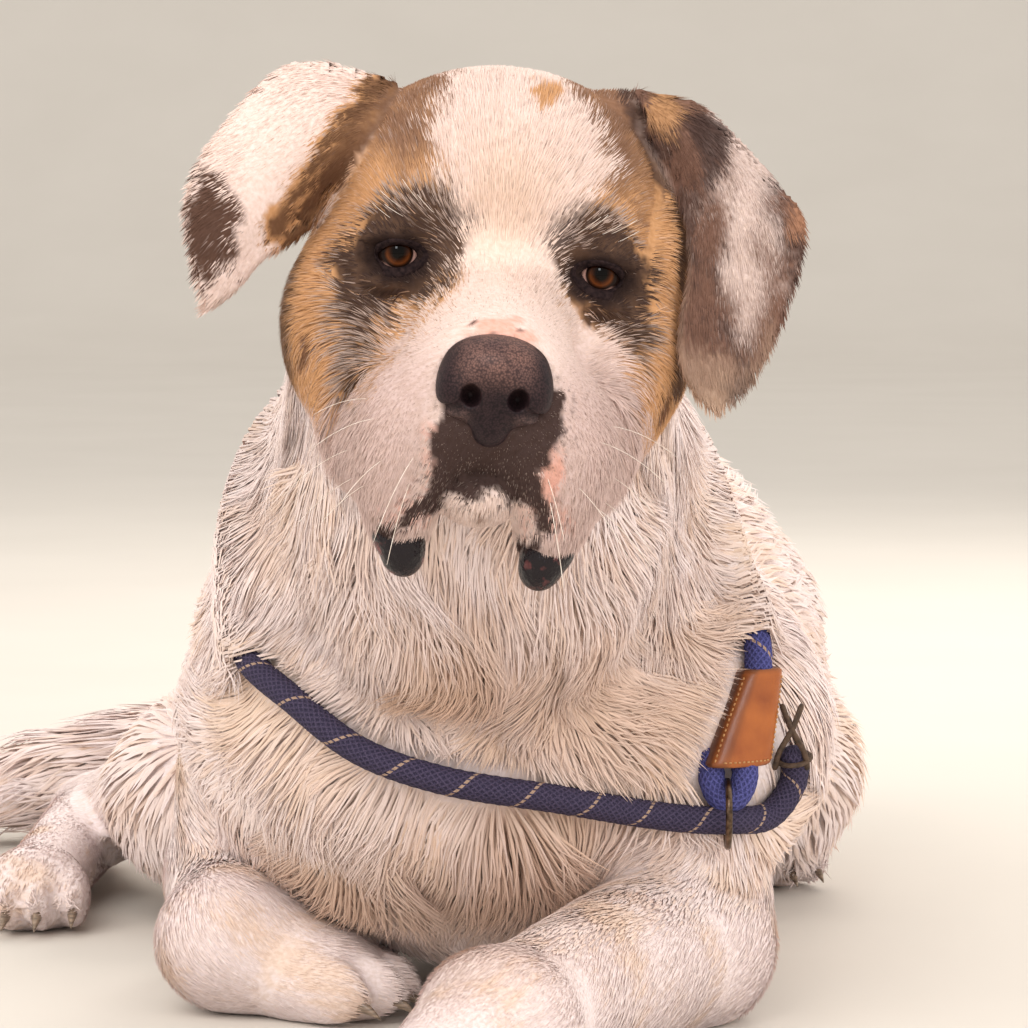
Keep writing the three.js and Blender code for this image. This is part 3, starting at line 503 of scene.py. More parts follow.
REGIONS = {
    "trunk": lambda p: trunk_outline(p) + body_depth(p),
    "neck": lambda p: neck_outline(p) + body_depth(p),
    "head": bounded(in_head_frame(head_skin), *around(of_head(HEAD_BOX), 0), margin=30),
}
for ear, (front, rear) in EAR_EDGES.items():
    ends = of_head([np.min(front + rear, 0), np.max(front + rear, 0)])
    REGIONS[ear] = bounded(in_head_frame(ear_leaf(front, rear)), *around(ends, 25), margin=20)
for part, made_of in (
    ("foreleg", foreleg),
    ("forepaw", lambda side: foot(FORELEG[side], 44, 32)),
    ("thigh", thigh),
    ("hindleg", shank),
    ("hindpaw", lambda side: foot(HINDLEG[side], 33, 29)),
):
    for side in ("left", "right"):
        REGIONS[f"{part}_{side}"] = made_of(side)
REGIONS["tail"] = tail_form
NAMES = list(REGIONS)


def region_distances(p):
    return np.stack([REGIONS[name](p) for name in NAMES], 1)


def share_of(weights, *names):
    """The share that some regions have in each point."""
    return weights[:, [NAMES.index(name) for name in names]].sum(1)


def skin_field(p):
    least = smooth_least(36, REGIONS["neck"](p), REGIONS["trunk"](p))
    for name in NAMES[5:]:
        least = smooth_least(14, least, REGIONS[name](p))
    head = REGIONS["head"](p)
    for side in ("right", "left"):
        from_root = length_of(p - of_head(EAR_ROOTS[side]))
        softness = 1.5 + 12 * (1 - smooth(from_root, 16, 60))
        head = smooth_least(softness, head, REGIONS["ear_" + side](p))
    least = smooth_least(10, least, head)
    return np.maximum(least, FLOOR_GAP - p[:, 2])


# Surface nets: the zero surface of a field on a grid with its own spacing along each axis
def spaced(*stretches):
    """Grid lines from (start, end, spacing) stretches, with a whole number of blocks of 4 cells."""
    lines = np.concatenate([np.arange(a, b, step) for a, b, step in stretches])
    step = stretches[-1][2]
    extra = (-(len(lines) - 1)) % 4
    return np.concatenate([lines, lines[-1] + step * np.arange(1, extra + 1)])


CORNERS = [(i, j, k) for i in (0, 1) for j in (0, 1) for k in (0, 1)]
EDGES = [(a, b) for a in range(8) for b in range(a + 1, 8)
         if sum(x != y for x, y in zip(CORNERS[a], CORNERS[b])) == 1]


def in_chunks(field, p, size=200000):
    return np.concatenate([field(p[i:i + size]) for i in range(0, len(p), size)])


def surface(field, axes, block=4):
    coarse = [a[::block] for a in axes]
    at = np.stack(np.meshgrid(*coarse, indexing="ij"), -1).reshape(-1, 3)
    rough = in_chunks(field, at).reshape([len(a) for a in coarse])
    size = np.linalg.norm([np.diff(a).max() for a in coarse])
    near = np.abs(rough) < size * 1.1
    cells = np.zeros([n - 1 for n in rough.shape], bool)
    for i, j, k in CORNERS:
        cells |= near[i:i + cells.shape[0], j:j + cells.shape[1], k:k + cells.shape[2]]
    fine_cells = cells.repeat(block, 0).repeat(block, 1).repeat(block, 2)
    shape = [len(a) for a in axes]
    wanted = np.zeros(shape, bool)
    for i, j, k in CORNERS:
        wanted[i:i + shape[0] - 1, j:j + shape[1] - 1, k:k + shape[2] - 1] |= fine_cells
    pick = [np.minimum(np.arange(n) // block, m - 1) for n, m in zip(shape, rough.shape)]
    values = rough[np.ix_(*pick)].astype(np.float32)
    i, j, k = np.nonzero(wanted)
    values[wanted] = in_chunks(field, np.stack([axes[0][i], axes[1][j], axes[2][k]], 1))
    inside = values < 0
    count = np.zeros([n - 1 for n in shape], np.uint8)
    for i, j, k in CORNERS:
        count += inside[i:i + count.shape[0], j:j + count.shape[1], k:k + count.shape[2]]
    active = (count > 0) & (count < 8)
    ids = np.full(active.shape, -1, np.int32)
    ids[active] = np.arange(active.sum())
    cell = np.stack(np.nonzero(active), 1)
    corner_at = [cell + np.array(c) for c in CORNERS]
    corner_value = [values[tuple(c.T)] for c in corner_at]
    corner_point = [np.stack([axes[d][c[:, d]] for d in range(3)], 1) for c in corner_at]
    total, hits = np.zeros((len(cell), 3)), np.zeros(len(cell))
    for a, b in EDGES:
        va, vb = corner_value[a], corner_value[b]
        crossed = (va < 0) != (vb < 0)
        share = (va / np.where(crossed, va - vb, 1))[:, None]
        total += np.where(crossed[:, None], corner_point[a] + (corner_point[b] - corner_point[a]) * share, 0)
        hits += crossed
    points = total / hits[:, None]
    quads = []
    for axis in range(3):
        a, b = (axis + 1) % 3, (axis + 2) % 3
        low = [slice(1, lines - 1) for lines in shape]
        high = list(low)
        low[axis], high[axis] = slice(0, shape[axis] - 1), slice(1, shape[axis])
        start, end = inside[tuple(low)], inside[tuple(high)]
        edge = np.stack(np.nonzero(start != end), 1)
        outward = start[tuple(edge.T)]
        edge[:, a] += 1
        edge[:, b] += 1
        ring = []
        for da, db in ((-1, -1), (0, -1), (0, 0), (-1, 0)):
            around_edge = edge.copy()
            around_edge[:, a] += da
            around_edge[:, b] += db
            ring.append(ids[tuple(around_edge.T)])
        ring = np.stack(ring, 1)
        quads.append(np.where(outward[:, None], ring, ring[:, ::-1]))
    quads = np.vstack(quads)
    return largest_part(points, quads)


def largest_part(points, quads):
    """Only the largest connected part of a mesh."""
    label = np.arange(len(points))
    while True:
        least = label[quads].min(1)
        new = label.copy()
        for corner in range(quads.shape[1]):
            np.minimum.at(new, quads[:, corner], least)
        new = new[new]
        if (new == label).all():
            break
        label = new
    main = np.bincount(label).argmax()
    kept = label == main
    renumber = np.cumsum(kept) - 1
    return points[kept], renumber[quads[kept[quads[:, 0]]]]


# Blender objects
def in_scene(name, data):
    made = bpy.data.objects.new(name, data)
    bpy.context.scene.collection.objects.link(made)
    return made


def mesh_object(name, points, faces, material, normals=None):
    """A mesh from design points and faces with the same number of corners each."""
    faces = np.asarray(faces, np.int32)
    corners = faces.shape[1]
    mesh = bpy.data.meshes.new(name)
    mesh.vertices.add(len(points))
    mesh.vertices.foreach_set("co", to_frame(points).astype(np.float32).ravel())
    mesh.loops.add(faces.size)
    mesh.loops.foreach_set("vertex_index", faces.ravel())
    mesh.polygons.add(len(faces))
    mesh.polygons.foreach_set("loop_start", np.arange(0, faces.size, corners, dtype=np.int32))
    mesh.polygons.foreach_set("use_smooth", np.ones(len(faces), bool))
    mesh.update(calc_edges=True)
    mesh.validate()
    if normals is not None:
        mesh.normals_split_custom_set(np.asarray(normals, np.float32))
    mesh.materials.append(material)
    return in_scene(name, mesh)


def mixed_mesh(name, points, faces, material):
    """A mesh from design points and faces of any number of corners."""
    mesh = bpy.data.meshes.new(name)
    mesh.from_pydata([tuple(p) for p in to_frame(points)], [], faces)
    mesh.polygons.foreach_set("use_smooth", np.ones(len(faces), bool))
    mesh.update()
    mesh.materials.append(material)
    return in_scene(name, mesh)


def ring_about(centre, side, up, count):
    """Points of an ellipse, from its centre and its half axes."""
    angle = np.linspace(0, 2 * math.pi, count, endpoint=False)[:, None]
    return centre + np.cos(angle) * side + np.sin(angle) * up


def lofted(rows, count, start=0, ends="capped"):
    """Quads between rings of points. The ends are capped, open, or joined to each other."""
    faces = []
    for i in range(rows if ends == "joined" else rows - 1):
        here, after = start + i * count, start + (i + 1) % rows * count
        for j in range(count):
            k = (j + 1) % count
            faces.append((here + j, here + k, after + k, after + j))
    if ends == "capped":
        last = start + (rows - 1) * count
        faces += [tuple(range(start, start + count))[::-1], tuple(range(last, last + count))]
    return faces


def paint(made, name, values):
    """A colour for each point, linear."""
    colours = np.concatenate([values, np.ones((len(values), 1))], 1).astype(np.float32)
    layer = made.data.color_attributes.new(name, "FLOAT_COLOR", "POINT")
    layer.data.foreach_set("color", colours.ravel())


def measure(made, name, values):
    layer = made.data.attributes.new(name, "FLOAT", "POINT")
    layer.data.foreach_set("value", np.asarray(values, np.float32))


def map_uv(made, name, uv):
    """A UV map from one place for each point."""
    layer = made.data.uv_layers.new(name=name)
    index = np.zeros(len(made.data.loops), np.int32)
    made.data.loops.foreach_get("vertex_index", index)
    layer.data.foreach_set("uv", np.asarray(uv, np.float32)[index].ravel())


def place(made, slot, *nodes):
    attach(made, "root")
    if nodes:
        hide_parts(*nodes)
    return made


# Materials
def new_material(name, roughness, **inputs):
    material = bpy.data.materials.new(name)
    material.use_nodes = True
    shader = material.node_tree.nodes["Principled BSDF"]
    shader.inputs["Roughness"].default_value = roughness
    for key, value in inputs.items():
        shader.inputs[key.replace("_", " ")].default_value = value
    return material, material.node_tree, shader


def add(tree, kind, **settings):
    node = tree.nodes.new(kind)
    for key, value in settings.items():
        if key in node.inputs:
            node.inputs[key].default_value = value
        else:
            setattr(node, key, value)
    return node


def link(tree, a, b):
    tree.links.new(a, b)


def noise(tree, scale, detail=3, stretch=None):
    place_node = add(tree, "ShaderNodeTexCoord")
    texture = add(tree, "ShaderNodeTexNoise", Scale=scale, Detail=detail)
    source = place_node.outputs["Object"]
    if stretch:
        mapping = add(tree, "ShaderNodeMapping")
        mapping.inputs["Scale"].default_value = stretch
        link(tree, source, mapping.inputs["Vector"])
        source = mapping.outputs["Vector"]
    link(tree, source, texture.inputs["Vector"])
    return texture.outputs["Fac"]


def bump(tree, shader, height, strength, distance):
    node = add(tree, "ShaderNodeBump", Strength=strength, Distance=distance)
    link(tree, height, node.inputs["Height"])
    link(tree, node.outputs["Normal"], shader.inputs["Normal"])


def ramp(tree, fac, *stops):
    node = add(tree, "ShaderNodeValToRGB")
    elements = node.color_ramp.elements
    while len(elements) < len(stops):
        elements.new(0.5)
    for element, (at, colour) in zip(elements, stops):
        element.position = at
        element.color = (*colour, 1)
    link(tree, fac, node.inputs["Fac"])
    return node.outputs["Color"]


def mix(tree, fac, a, b, kind="MIX"):
    node = tree.nodes.new("ShaderNodeMix")
    node.data_type = "RGBA"
    node.blend_type = kind
    for value, socket in ((fac, node.inputs[0]), (a, node.inputs[6]), (b, node.inputs[7])):
        if isinstance(value, bpy.types.NodeSocket):
            link(tree, value, socket)
        elif isinstance(value, (int, float)):
            socket.default_value = value
        else:
            socket.default_value = (*value, 1)
    return node.outputs[2]


def speckled(name, roughness, grain, low, high, relief=None, **inputs):
    """A material that wavers between two colours, each given with its place on the ramp."""
    material, tree, shader = new_material(name, roughness, **inputs)
    link(tree, ramp(tree, noise(tree, *grain), low, high), shader.inputs["Base Color"])
    if relief:
        scale, strength, distance = relief
        bump(tree, shader, noise(tree, scale), strength, distance)
    return material


def coat_material(name, grain):
    """Hair or bare undercoat: the marking's colour, streaked along each tuft."""
    material, tree, shader = new_material(name, 0.9, Specular_IOR_Level=0.0)
    colour = add(tree, "ShaderNodeAttribute", attribute_name="Marking").outputs["Color"]
    strands = add(tree, "ShaderNodeTexNoise", Scale=1.0, Detail=2.0)
    link(tree, add(tree, "ShaderNodeUVMap", uv_map="Strand").outputs["UV"], strands.inputs["Vector"])
    streak = ramp(tree, strands.outputs["Fac"], (0.34, (0.88, 0.85, 0.81)), (0.62, (1, 1, 1)))
    shade = ramp(tree, noise(tree, grain), (0.3, (0.94, 0.93, 0.91)), (0.7, (1, 1, 1)))
    colour = mix(tree, 1.0, mix(tree, 1.0, colour, streak, "MULTIPLY"), shade, "MULTIPLY")
    link(tree, colour, shader.inputs["Base Color"])
    bump(tree, shader, strands.outputs["Fac"], 0.5, 0.0005)
    return material


# Colours, linear
CREAM = np.array([0.88, 0.78, 0.80])
FACE_WHITE = np.array([0.80, 0.655, 0.625])
# Painted shade: the white darkened for the muzzle's sides, which face down and away from the light
FLEW_SHADE_WHITE = np.array([0.60, 0.455, 0.44])
BEIGE = np.array([0.69, 0.50, 0.39])
CHEST_SHADE = np.array([0.56, 0.375, 0.28])
WARM = np.array([0.80, 0.60, 0.46])
TAN = np.array([0.59, 0.33, 0.17])
BROWN = np.array([0.20, 0.105, 0.065])
DARK = np.array([0.032, 0.021, 0.020])
FROST = np.array([0.51, 0.40, 0.36])
GREY_BROWN = np.array([0.19, 0.108, 0.084])
RUST = np.array([0.42, 0.22, 0.14])
PINK = np.array([0.76, 0.41, 0.34])

# Outlines of the face's markings, over (x, z) of the head's frame
RIGHT_PATCH = [(-34, 99), (-44, 67), (-36, 41), (-20, 16), (-22, -14), (-48, -40), (-66, -74), (-80, -84),
               (-98, -78), (-130, -60), (-150, 0), (-150, 120), (-40, 120)]
LEFT_PATCH = [(26, 97), (45, 76), (54, 51), (37, 33), (27, 5), (40, -20), (63, -34), (82, -63), (90, -82),
              (112, -84), (135, -50), (150, 0), (150, 120), (30, 120)]
RIGHT_MASK = [(-27, 33), (-17, 19), (-19, -1), (-29, -17), (-46, -29), (-55, -43), (-63, -63), (-69, -79),
              (-74, -72), (-78, -48), (-82, -28), (-86, -10), (-81, 5), (-72, 19), (-58, 31), (-40, 37)]
LEFT_MASK = [(34, 34), (24, 13), (27, -2), (39, -13), (46, -21), (61, -32), (71, -43), (78, -46), (82, -27),
             (83, -4), (77, 13), (64, 27), (51, 36)]
MUZZLE_DARK = [(-23, -66), (-29, -84), (-27, -109), (-31, -121), (-40, -130), (-47, -136), (-43, -140),
               (-36, -136), (-27, -130), (-15, -121), (-5, -117), (2, -115), (18, -117), (26, -123),
               (29, -133), (42, -137), (43, -126), (37, -118), (31, -110), (27, -100), (31, -89), (36, -79),
               (36, -62), (5, -43)]
EAR_SPOT = [(-164, 35), (-152, 35), (-141, 22), (-137, 6), (-142, -11), (-151, -30), (-163, -10), (-167, 13)]
LEFT_EAR_CREASE = [(59, 101), (68, 80), (77, 61), (89, 43), (97, 17), (101, -8), (103, -25),
                   (102, -50)]
RIGHT_EAR_CREASE = [(-65, 89), (-86, 50), (-99, 16), (-108, -8)]
RIGHT_EAR_FOLD = [(-60, 96), (-86, 56), (-112, 8)]
# Painted golden shade in the hollows of the chest: x, z and half sizes in the dog's frame
CHEST_HOLLOW_SHADES = ((42, 200, 30, 52), (-34, 246, 15, 40), (20, 120, 60, 22), (-112, 105, 26, 34),
                 (96, 240, 20, 34))
wobble_x = waves(1, 26)
wobble_z = waves(2, 22)
mottle = waves(3, 34)
fine_mottle = waves(4, 9)
cloud = waves(5, 70)
bunch = waves(9, 6)
billow = waves(8, 52)


def over(colour, top, weight):
    return colour + (top - colour) * weight[:, None]


def plain(colour, count):
    return np.repeat(colour[None], count, 0)


def line_distance(points, q):
    return chain(points, [0] * len(points))(q)


def plane_line_distance(points, x, z):
    return line_distance([(a, 0, b) for a, b in points], np.stack([x, 0 * x, z], 1))


def ellipse_reach(u, v, centre_u, centre_v, radius_u, radius_v):
    return np.sqrt(((u - centre_u) / radius_u) ** 2 + ((v - centre_v) / radius_v) ** 2)


def bell_at(u, v, centre_u, centre_v, width_u, width_v):
    return np.exp(-(((u - centre_u) / width_u) ** 2) - ((v - centre_v) / width_v) ** 2)


def body_colour(p, off_head):
    """White hair with warmer clouds, painted golden shade in the chest's hollows, and painted shade under the
    head and below the rope.
    """
    colour = plain(CREAM, len(p))
    shade = smooth(cloud(p) + 0.5 * fine_mottle(p), 0.2, 1.6)
    colour = over(colour, WARM, 0.6 * shade)
    bell = lambda *place_and_size: bell_at(p[:, 0], p[:, 2], *place_and_size)
    # Painted shade: golden beige in the hollows of the chest, on its front only
    hollow_shade = sum(bell(*hollow) for hollow in CHEST_HOLLOW_SHADES)
    hollow_shade = 0.6 * np.clip(hollow_shade + 0.25 * billow(p) * hollow_shade, 0, 1)
    colour = over(colour, BEIGE, hollow_shade * (p[:, 1] < 230) * off_head)
    under_head, under_rope = bell(-8, 236, 78, 46), bell(-36, 112, 88, 40)
    shaded = np.clip(0.66 * under_head + 0.62 * under_rope, 0, 0.75) * (1 + 0.22 * billow(p))
    return over(colour, CHEST_SHADE, shaded * (1 - smooth(p[:, 1], 190, 250)) * off_head)


def patch_colours(q, z):
    """Tan with dark stripes, browner on the crown, and painted shade, nearly black, behind the right cheek
    under the ear.
    """
    stripe = smooth(0.7 * mottle(q) + 0.5 * fine_mottle(q) + (z - 50) / 40, -0.2, 1.0)
    colour = over(plain(TAN, len(q)), BROWN, 0.6 * stripe)
    inner_crown = smooth(z, 34, 56) * (1 - smooth(np.abs(q[:, 0]), 62, 84))
    colour = over(colour, GREY_BROWN, 0.62 * inner_crown)
    # Painted shade under the right ear, behind the cheek
    rear = smooth(np.abs(q[:, 0]) + 2 * fine_mottle(q), 97, 107) * (q[:, 0] < 0)
    return over(colour, DARK * 1.8, 0.8 * rear)


def left_ear_colour(q, x, z, jitter, left_ear_crease_shade):
    bell = lambda *place_and_size: bell_at(x, z, *place_and_size)
    rim = line_distance(curve_points(LEFT_EAR[0], 14), q)
    pale = np.exp(-(((x - 134 + 0.2 * (z - 10)) / 17) ** 2)) * smooth(z, -46, 0) + 0.22 * mottle(q)
    pale = smooth(pale + 0.35 * (jitter - 0.5) + 0.1 * bunch(q), 0.2, 1.05)
    # Painted shade in the fold near the root of the left ear
    ear_fold_shade = bell(101, 84, 14, 12) + 0.8 * bell(107, 62, 9, 17)
    colour = plain(GREY_BROWN, len(q))
    for top, weight in (
        (DARK * 2.2, 0.7 * smooth(mottle(q) + 0.5 * fine_mottle(q), 0.0, 1.0)),
        (BEIGE * 0.9, 0.75 * (1 - smooth(z + 9 * mottle(q), -62, -24))),
        (FACE_WHITE * 0.92, 0.85 * pale),
        (RUST, 0.8 * smooth(bell(158, 42, 10, 12), 0.3, 0.8)),
        (TAN * 0.85, 0.85 * smooth(bell(79, 91, 11, 13) + 0.1 * bunch(q), 0.3, 0.8)),
        (DARK * 2.0, 0.85 * smooth(ear_fold_shade + 0.15 * bunch(q), 0.35, 0.8)),
        (BEIGE, 0.9 * (1 - smooth(rim, 0.8, 3.2)) * (1 - smooth(z, 42, 58))),
        (DARK * 2.2, 0.8 * left_ear_crease_shade * smooth(z, 44, 58)),
    ):
        colour = over(colour, top, weight)
    return colour


def markings(p, weights, jitter):
    """Colours of the hair at its root and at its tip, and how bare the skin is.

    weights is the share of each region at each point, and jitter a random number for each."""
    q = to_head(p)
    x, y, z = q[:, 0] + 2.5 * wobble_x(q), q[:, 1], q[:, 2] + 2.5 * wobble_z(q)
    aside = np.abs(q[:, 0])
    spread = (jitter - 0.5) * 0.9
    ragged = lambda share: smooth(share + spread, 0.3, 0.7)
    soft = lambda outline, width: smooth(-polygon_distance(outline, x, z), -width, width)
    bell = lambda *place_and_size: bell_at(x, z, *place_and_size)
    head = smooth(share_of(weights, "head", *EARS), 0.35, 0.6)
    ear_right, ear_left = (share_of(weights, ear) for ear in EARS)
    on_face = head * (1 - smooth(ear_right + ear_left, 0.3, 0.6))
    colour = body_colour(p, 1 - head)
    colour = over(colour, FACE_WHITE, head)
    # Painted shade on the sides of the muzzle, which face down and away from the light
    flew = smooth(aside, 16, 40) * smooth(-z, 22, 66) * (1 - smooth(y, 30, 70))
    colour = over(colour, FLEW_SHADE_WHITE, 0.85 * flew * on_face)

    # Patches, crown, and the dark creases by the ears: painted shade, with some dark hair by the left ear
    patch_end = 1 - smooth(y + 8 * mottle(q), 78, 92)
    patch = ragged(np.maximum(soft(RIGHT_PATCH, 11), soft(LEFT_PATCH, 11)) * patch_end) * on_face
    mask = np.maximum(soft(RIGHT_MASK, 9), soft(LEFT_MASK, 9)) * (1 - smooth(y, 34, 54))
    mask = ragged(mask + 0.10 * bunch(q)) * on_face
    colour = over(colour, patch_colours(q, z), patch)
    colour = over(colour, WARM, 0.5 * bell(0, 30, 26, 34) * on_face)
    colour = over(colour, TAN, smooth(bell(15, 89, 10, 5), 0.25, 0.5) * on_face * (y < 60))
    # Painted shade in the crease where the left ear meets the head, with dark hair there too
    left_ear_crease_shade = 1 - smooth(plane_line_distance(LEFT_EAR_CREASE, x, z) + fine_mottle(q), 2.5, 6)
    colour = over(colour, DARK * 2.2, 0.85 * left_ear_crease_shade * on_face)
    # Painted shade in the creases low on the cheeks, beside the ears
    cheek_crease_shade = smooth(bell(96, -62, 4, 9) + bell(-94, -50, 4, 10), 0.3, 0.7)
    colour = over(colour, BROWN, cheek_crease_shade * on_face)
    eye_ring = np.zeros(len(p))
    for s in (-1, 1):
        ring = ellipse_reach(q[:, 0], q[:, 2], s * 54, -2.5, 17.5, 13)
        eye_ring = np.maximum(eye_ring, 1 - smooth(ring + 0.1 * fine_mottle(q), 0.8, 1.5))
    eye_ring *= on_face * (y < 20)

    # Muzzle: pink skin over the nose and beside the dark hair, dark dots, chin and rims of the lip
    from_dark = -polygon_distance(MUZZLE_DARK, x, z)
    dark_muzzle = ragged(smooth(from_dark, -4, 4)) * on_face * (1 - smooth(y, -66, -50))
    pink = smooth(bell(0, -34, 19, 8.5) + 0.08 * fine_mottle(q), 0.35, 0.6)
    dots = smooth(fine_mottle(q * 1.7 + 5), 1.2, 1.5) * pink
    beside = smooth(from_dark, -11, -3) * (z < -84) * (z > -132) * smooth(aside, 18, 26)
    speckle = smooth(fine_mottle(q * 2.2) + 0.5 * mottle(q), -0.6, 0.8)
    strip = smooth(bell(34, -101, 8, 13), 0.35, 0.7)
    flush = np.maximum(0.85 * pink, np.maximum(0.6 * beside * speckle, 0.9 * strip))
    colour = over(colour, PINK, flush * on_face * (y < -50))
    pepper = smooth(from_dark, -13, -1) * smooth(bunch(q * 1.6) + jitter, 1.1, 1.7)
    colour = over(colour, DARK * 2, 0.8 * pepper * on_face * (y < -66) * (z > -128))
    colour = over(colour, DARK * 2, dots * on_face * (y < -50))
    chin = smooth(bell(3, -127, 7, 6), 0.4, 0.9) * on_face * (y > -90) * (z < -121)
    colour = over(colour, BROWN, 0.7 * chin)
    rims = smooth(bell(28, -142, 4.5, 9) + bell(-46, -142, 4.5, 8), 0.4, 0.7) * on_face * (y < -40)
    dark_muzzle = np.maximum(dark_muzzle, rims)
    colour = over(colour, DARK * 1.5, dark_muzzle)

    # Ears
    right = plain(FACE_WHITE * 1.04, len(p))
    fold = plane_line_distance(RIGHT_EAR_FOLD, x, z)
    right = over(right, TAN, ragged(1 - smooth(fold, 9, 17)))
    # Painted shade: a dark line in the fold along the right ear's front rim
    right = over(right, BROWN * 0.7, 0.9 * (1 - smooth(np.abs(fold - 5) + fine_mottle(q), 2, 5)))
    right = over(right, GREY_BROWN * 0.6, ragged(soft(EAR_SPOT, 6)))
    colour = over(colour, right, smooth(ear_right, 0.3, 0.6))
    left = left_ear_colour(q, x, z, jitter, left_ear_crease_shade)
    colour = over(colour, left, smooth(ear_left, 0.3, 0.6))
    # Painted shade in the crease between the right ear's rim and the face
    right_ear_crease_shade = 1 - smooth(plane_line_distance(RIGHT_EAR_CREASE, x, z) + fine_mottle(q), 2.5, 7)
    colour = over(colour, BROWN * 0.8, 0.85 * right_ear_crease_shade * head * (y > 0))

    # Roots are darker than tips, and the mask is grizzled with frosted hair away from the eye
    root = over(colour, DARK * 1.6, 0.9 * mask)
    from_eye = np.min([ellipse_reach(q[:, 0], q[:, 2], s * 57, -4, 22, 17) for s in (-1, 1)], 0)
    frosted = smooth(from_eye + 0.12 * bunch(q), 0.9, 2.2)
    light = smooth(jitter + 0.3 * bunch(q), 0.95 - 0.75 * frosted, 1.25 - 0.55 * frosted)
    grizzle = over(plain(DARK * 1.9, len(p)), FROST * 1.2, light)
    tip = colour + (grizzle - colour) * mask[:, None]
    tip = over(tip, FROST * 0.75, 0.8 * dark_muzzle * smooth(jitter + 0.2 * bunch(q), 0.6, 0.9))
    root = over(root, DARK * 2.4, 0.6 * dark_muzzle)
    root = over(root, DARK * 0.8, eye_ring)
    tip = over(tip, DARK * 1.2, eye_ring)
    bare = np.maximum(0.85 * eye_ring, np.maximum(0.7 * pink, 0.5 * dark_muzzle)) * on_face
    return np.clip(root, 0.006, 0.92), np.clip(tip, 0.006, 0.92), bare


# The coat of each region: length, width, height of the tips, wave, tufts to the square centimetre
# and clumping
COATS = {
    "head": (8.5, 1.15, 0.17, 0.25, 41, 0.0),
    "ear": (8, 1.2, 0.1, 0.25, 44, 0.0),
    "neck": (54, 1.45, 0.24, 6.0, 11.8, 0.42),
    "trunk": (42, 3.9, 0.22, 4.0, 2.75, 0.35),
    "foreleg": (12, 1.7, 0.10, 0.3, 24, 0.0),
    "forepaw": (8, 1.4, 0.12, 0.3, 30, 0.0),
    "thigh": (38, 3.8, 0.22, 3.0, 3.8, 0.3),
    "hindleg": (12, 1.8, 0.12, 0.3, 20, 0.0),
    "hindpaw": (8, 1.6, 0.12, 0.3, 22, 0.0),
    "tail": (70, 4.1, 0.22, 5, 4.0, 0.45),
}
COAT_TABLE = np.array([COATS[name.split("_")[0]] for name in NAMES], float)
WHORL = np.array([40, 135, 225.0])
sweep = waves(6, 120)
sweep_fine = waves(7, 44)


def region_weights(p):
    d = in_chunks(region_distances, p)
    d = d - d.min(1, keepdims=True)
    w = np.exp(-d / 7)
    return w / w.sum(1, keepdims=True)


def lie(p, weights):
    """The way the coat lies at a point, before it is laid along the surface."""
    q = to_head(p)
    back = smooth(p[:, 1], 120, 330)
    body = np.stack([(p[:, 0] + 15) / 500, 0.15 + 0.95 * back, 0.6 * back - 1], 1)
    from_whorl = p - WHORL
    near = np.exp(-(length_of(from_whorl) / 48) ** 2)[:, None]
    swirl = np.stack([from_whorl[:, 2], 0 * near[:, 0], -from_whorl[:, 0]], 1) / 40
    body = body * (1 - 0.35 * near) + near * (0.5 * from_whorl / 50 + 0.6 * swirl)
    face = unit(q - NOSE_TIP)
    droop = smooth(np.abs(q[:, 0]), 22, 50) * smooth(-q[:, 2], 30, 75)
    face = face * (1 - 0.8 * droop)[:, None] + droop[:, None] * np.array([0, 0.35, -1.0])
    cheek = smooth(np.abs(q[:, 0]), 60, 90)
    face = face + cheek[:, None] * np.array([0, 0.3, -0.5])
    flows = {"head": face @ HEAD_TURN, "neck": body, "trunk": body}
    for side in ("right", "left"):
        away = 0.5 * unit(q - EAR_ROOTS[side]) + unit((EAR_TIPS[side] - EAR_ROOTS[side])[None])
        flows["ear_" + side] = away @ HEAD_TURN
        flows["thigh_" + side] = np.array([[0, 0.75, -0.7]])
        for limb_name, paw_name, leg, fall in (
            ("foreleg_", "forepaw_", FORELEG[side], 0.5),
            ("hindleg_", "hindpaw_", HINDLEG[side], 0.4),
        ):
            _, bend, ankle, toes = np.array(leg, float)
            flows[limb_name + side] = unit((ankle - bend)[None]) - [0, 0, fall]
            flows[paw_name + side] = (toes - ankle)[None]
    nearest = np.argmin(((p[:, None] - tail_points[None]) ** 2).sum(2), 1)
    along = np.gradient(tail_points, axis=0)[nearest]
    flows["tail"] = unit(along) + 0.35 * unit(p - tail_points[nearest]) + [0, 0, -0.15]
    total = sum(weights[:, [i]] * unit(flows[name]) for i, name in enumerate(NAMES))
    long_coat = share_of(weights, "neck", "trunk", "tail")
    front = long_coat * (1 - smooth(p[:, 1], 190, 330))
    turn = (0.5 + 0.5 * long_coat + 1.1 * front) * (0.24 * sweep(p) + 0.20 * sweep_fine(p))
    return unit(total), turn


# Skin
HEAD_LINES = 3.4
BODY_LINES = 9
skin_axes = [
    spaced((-492, -196, BODY_LINES), (-196, 172, HEAD_LINES), (172, 262, BODY_LINES)),
    spaced((-160, 132, 3.0), (132, 290, 5.2), (290, 1135, BODY_LINES)),
    spaced((-6, 60, 4), (60, 270, 6), (270, 572, HEAD_LINES)),
]
skin_points, skin_quads = surface(skin_field, skin_axes)
for _ in range(2):
    g = slope(skin_field, skin_points, 0.4)
    step = skin_field(skin_points) / np.maximum(length_of(g), 0.3) ** 2
    skin_points = skin_points - g * np.clip(step, -2, 2)[:, None]
skin_points[:, 2] = np.maximum(skin_points[:, 2], FLOOR_GAP)
skin_normals = unit(slope(skin_field, skin_points, 1.2))
skin_weights = region_weights(skin_points)
skin_colour, _, _ = markings(skin_points, skin_weights, np.full(len(skin_points), 0.5))
skin_material = coat_material("skin_and_undercoat", 420)
skin = mesh_object("skin", skin_points, skin_quads, skin_material)
paint(skin, "Marking", skin_colour * 0.95)
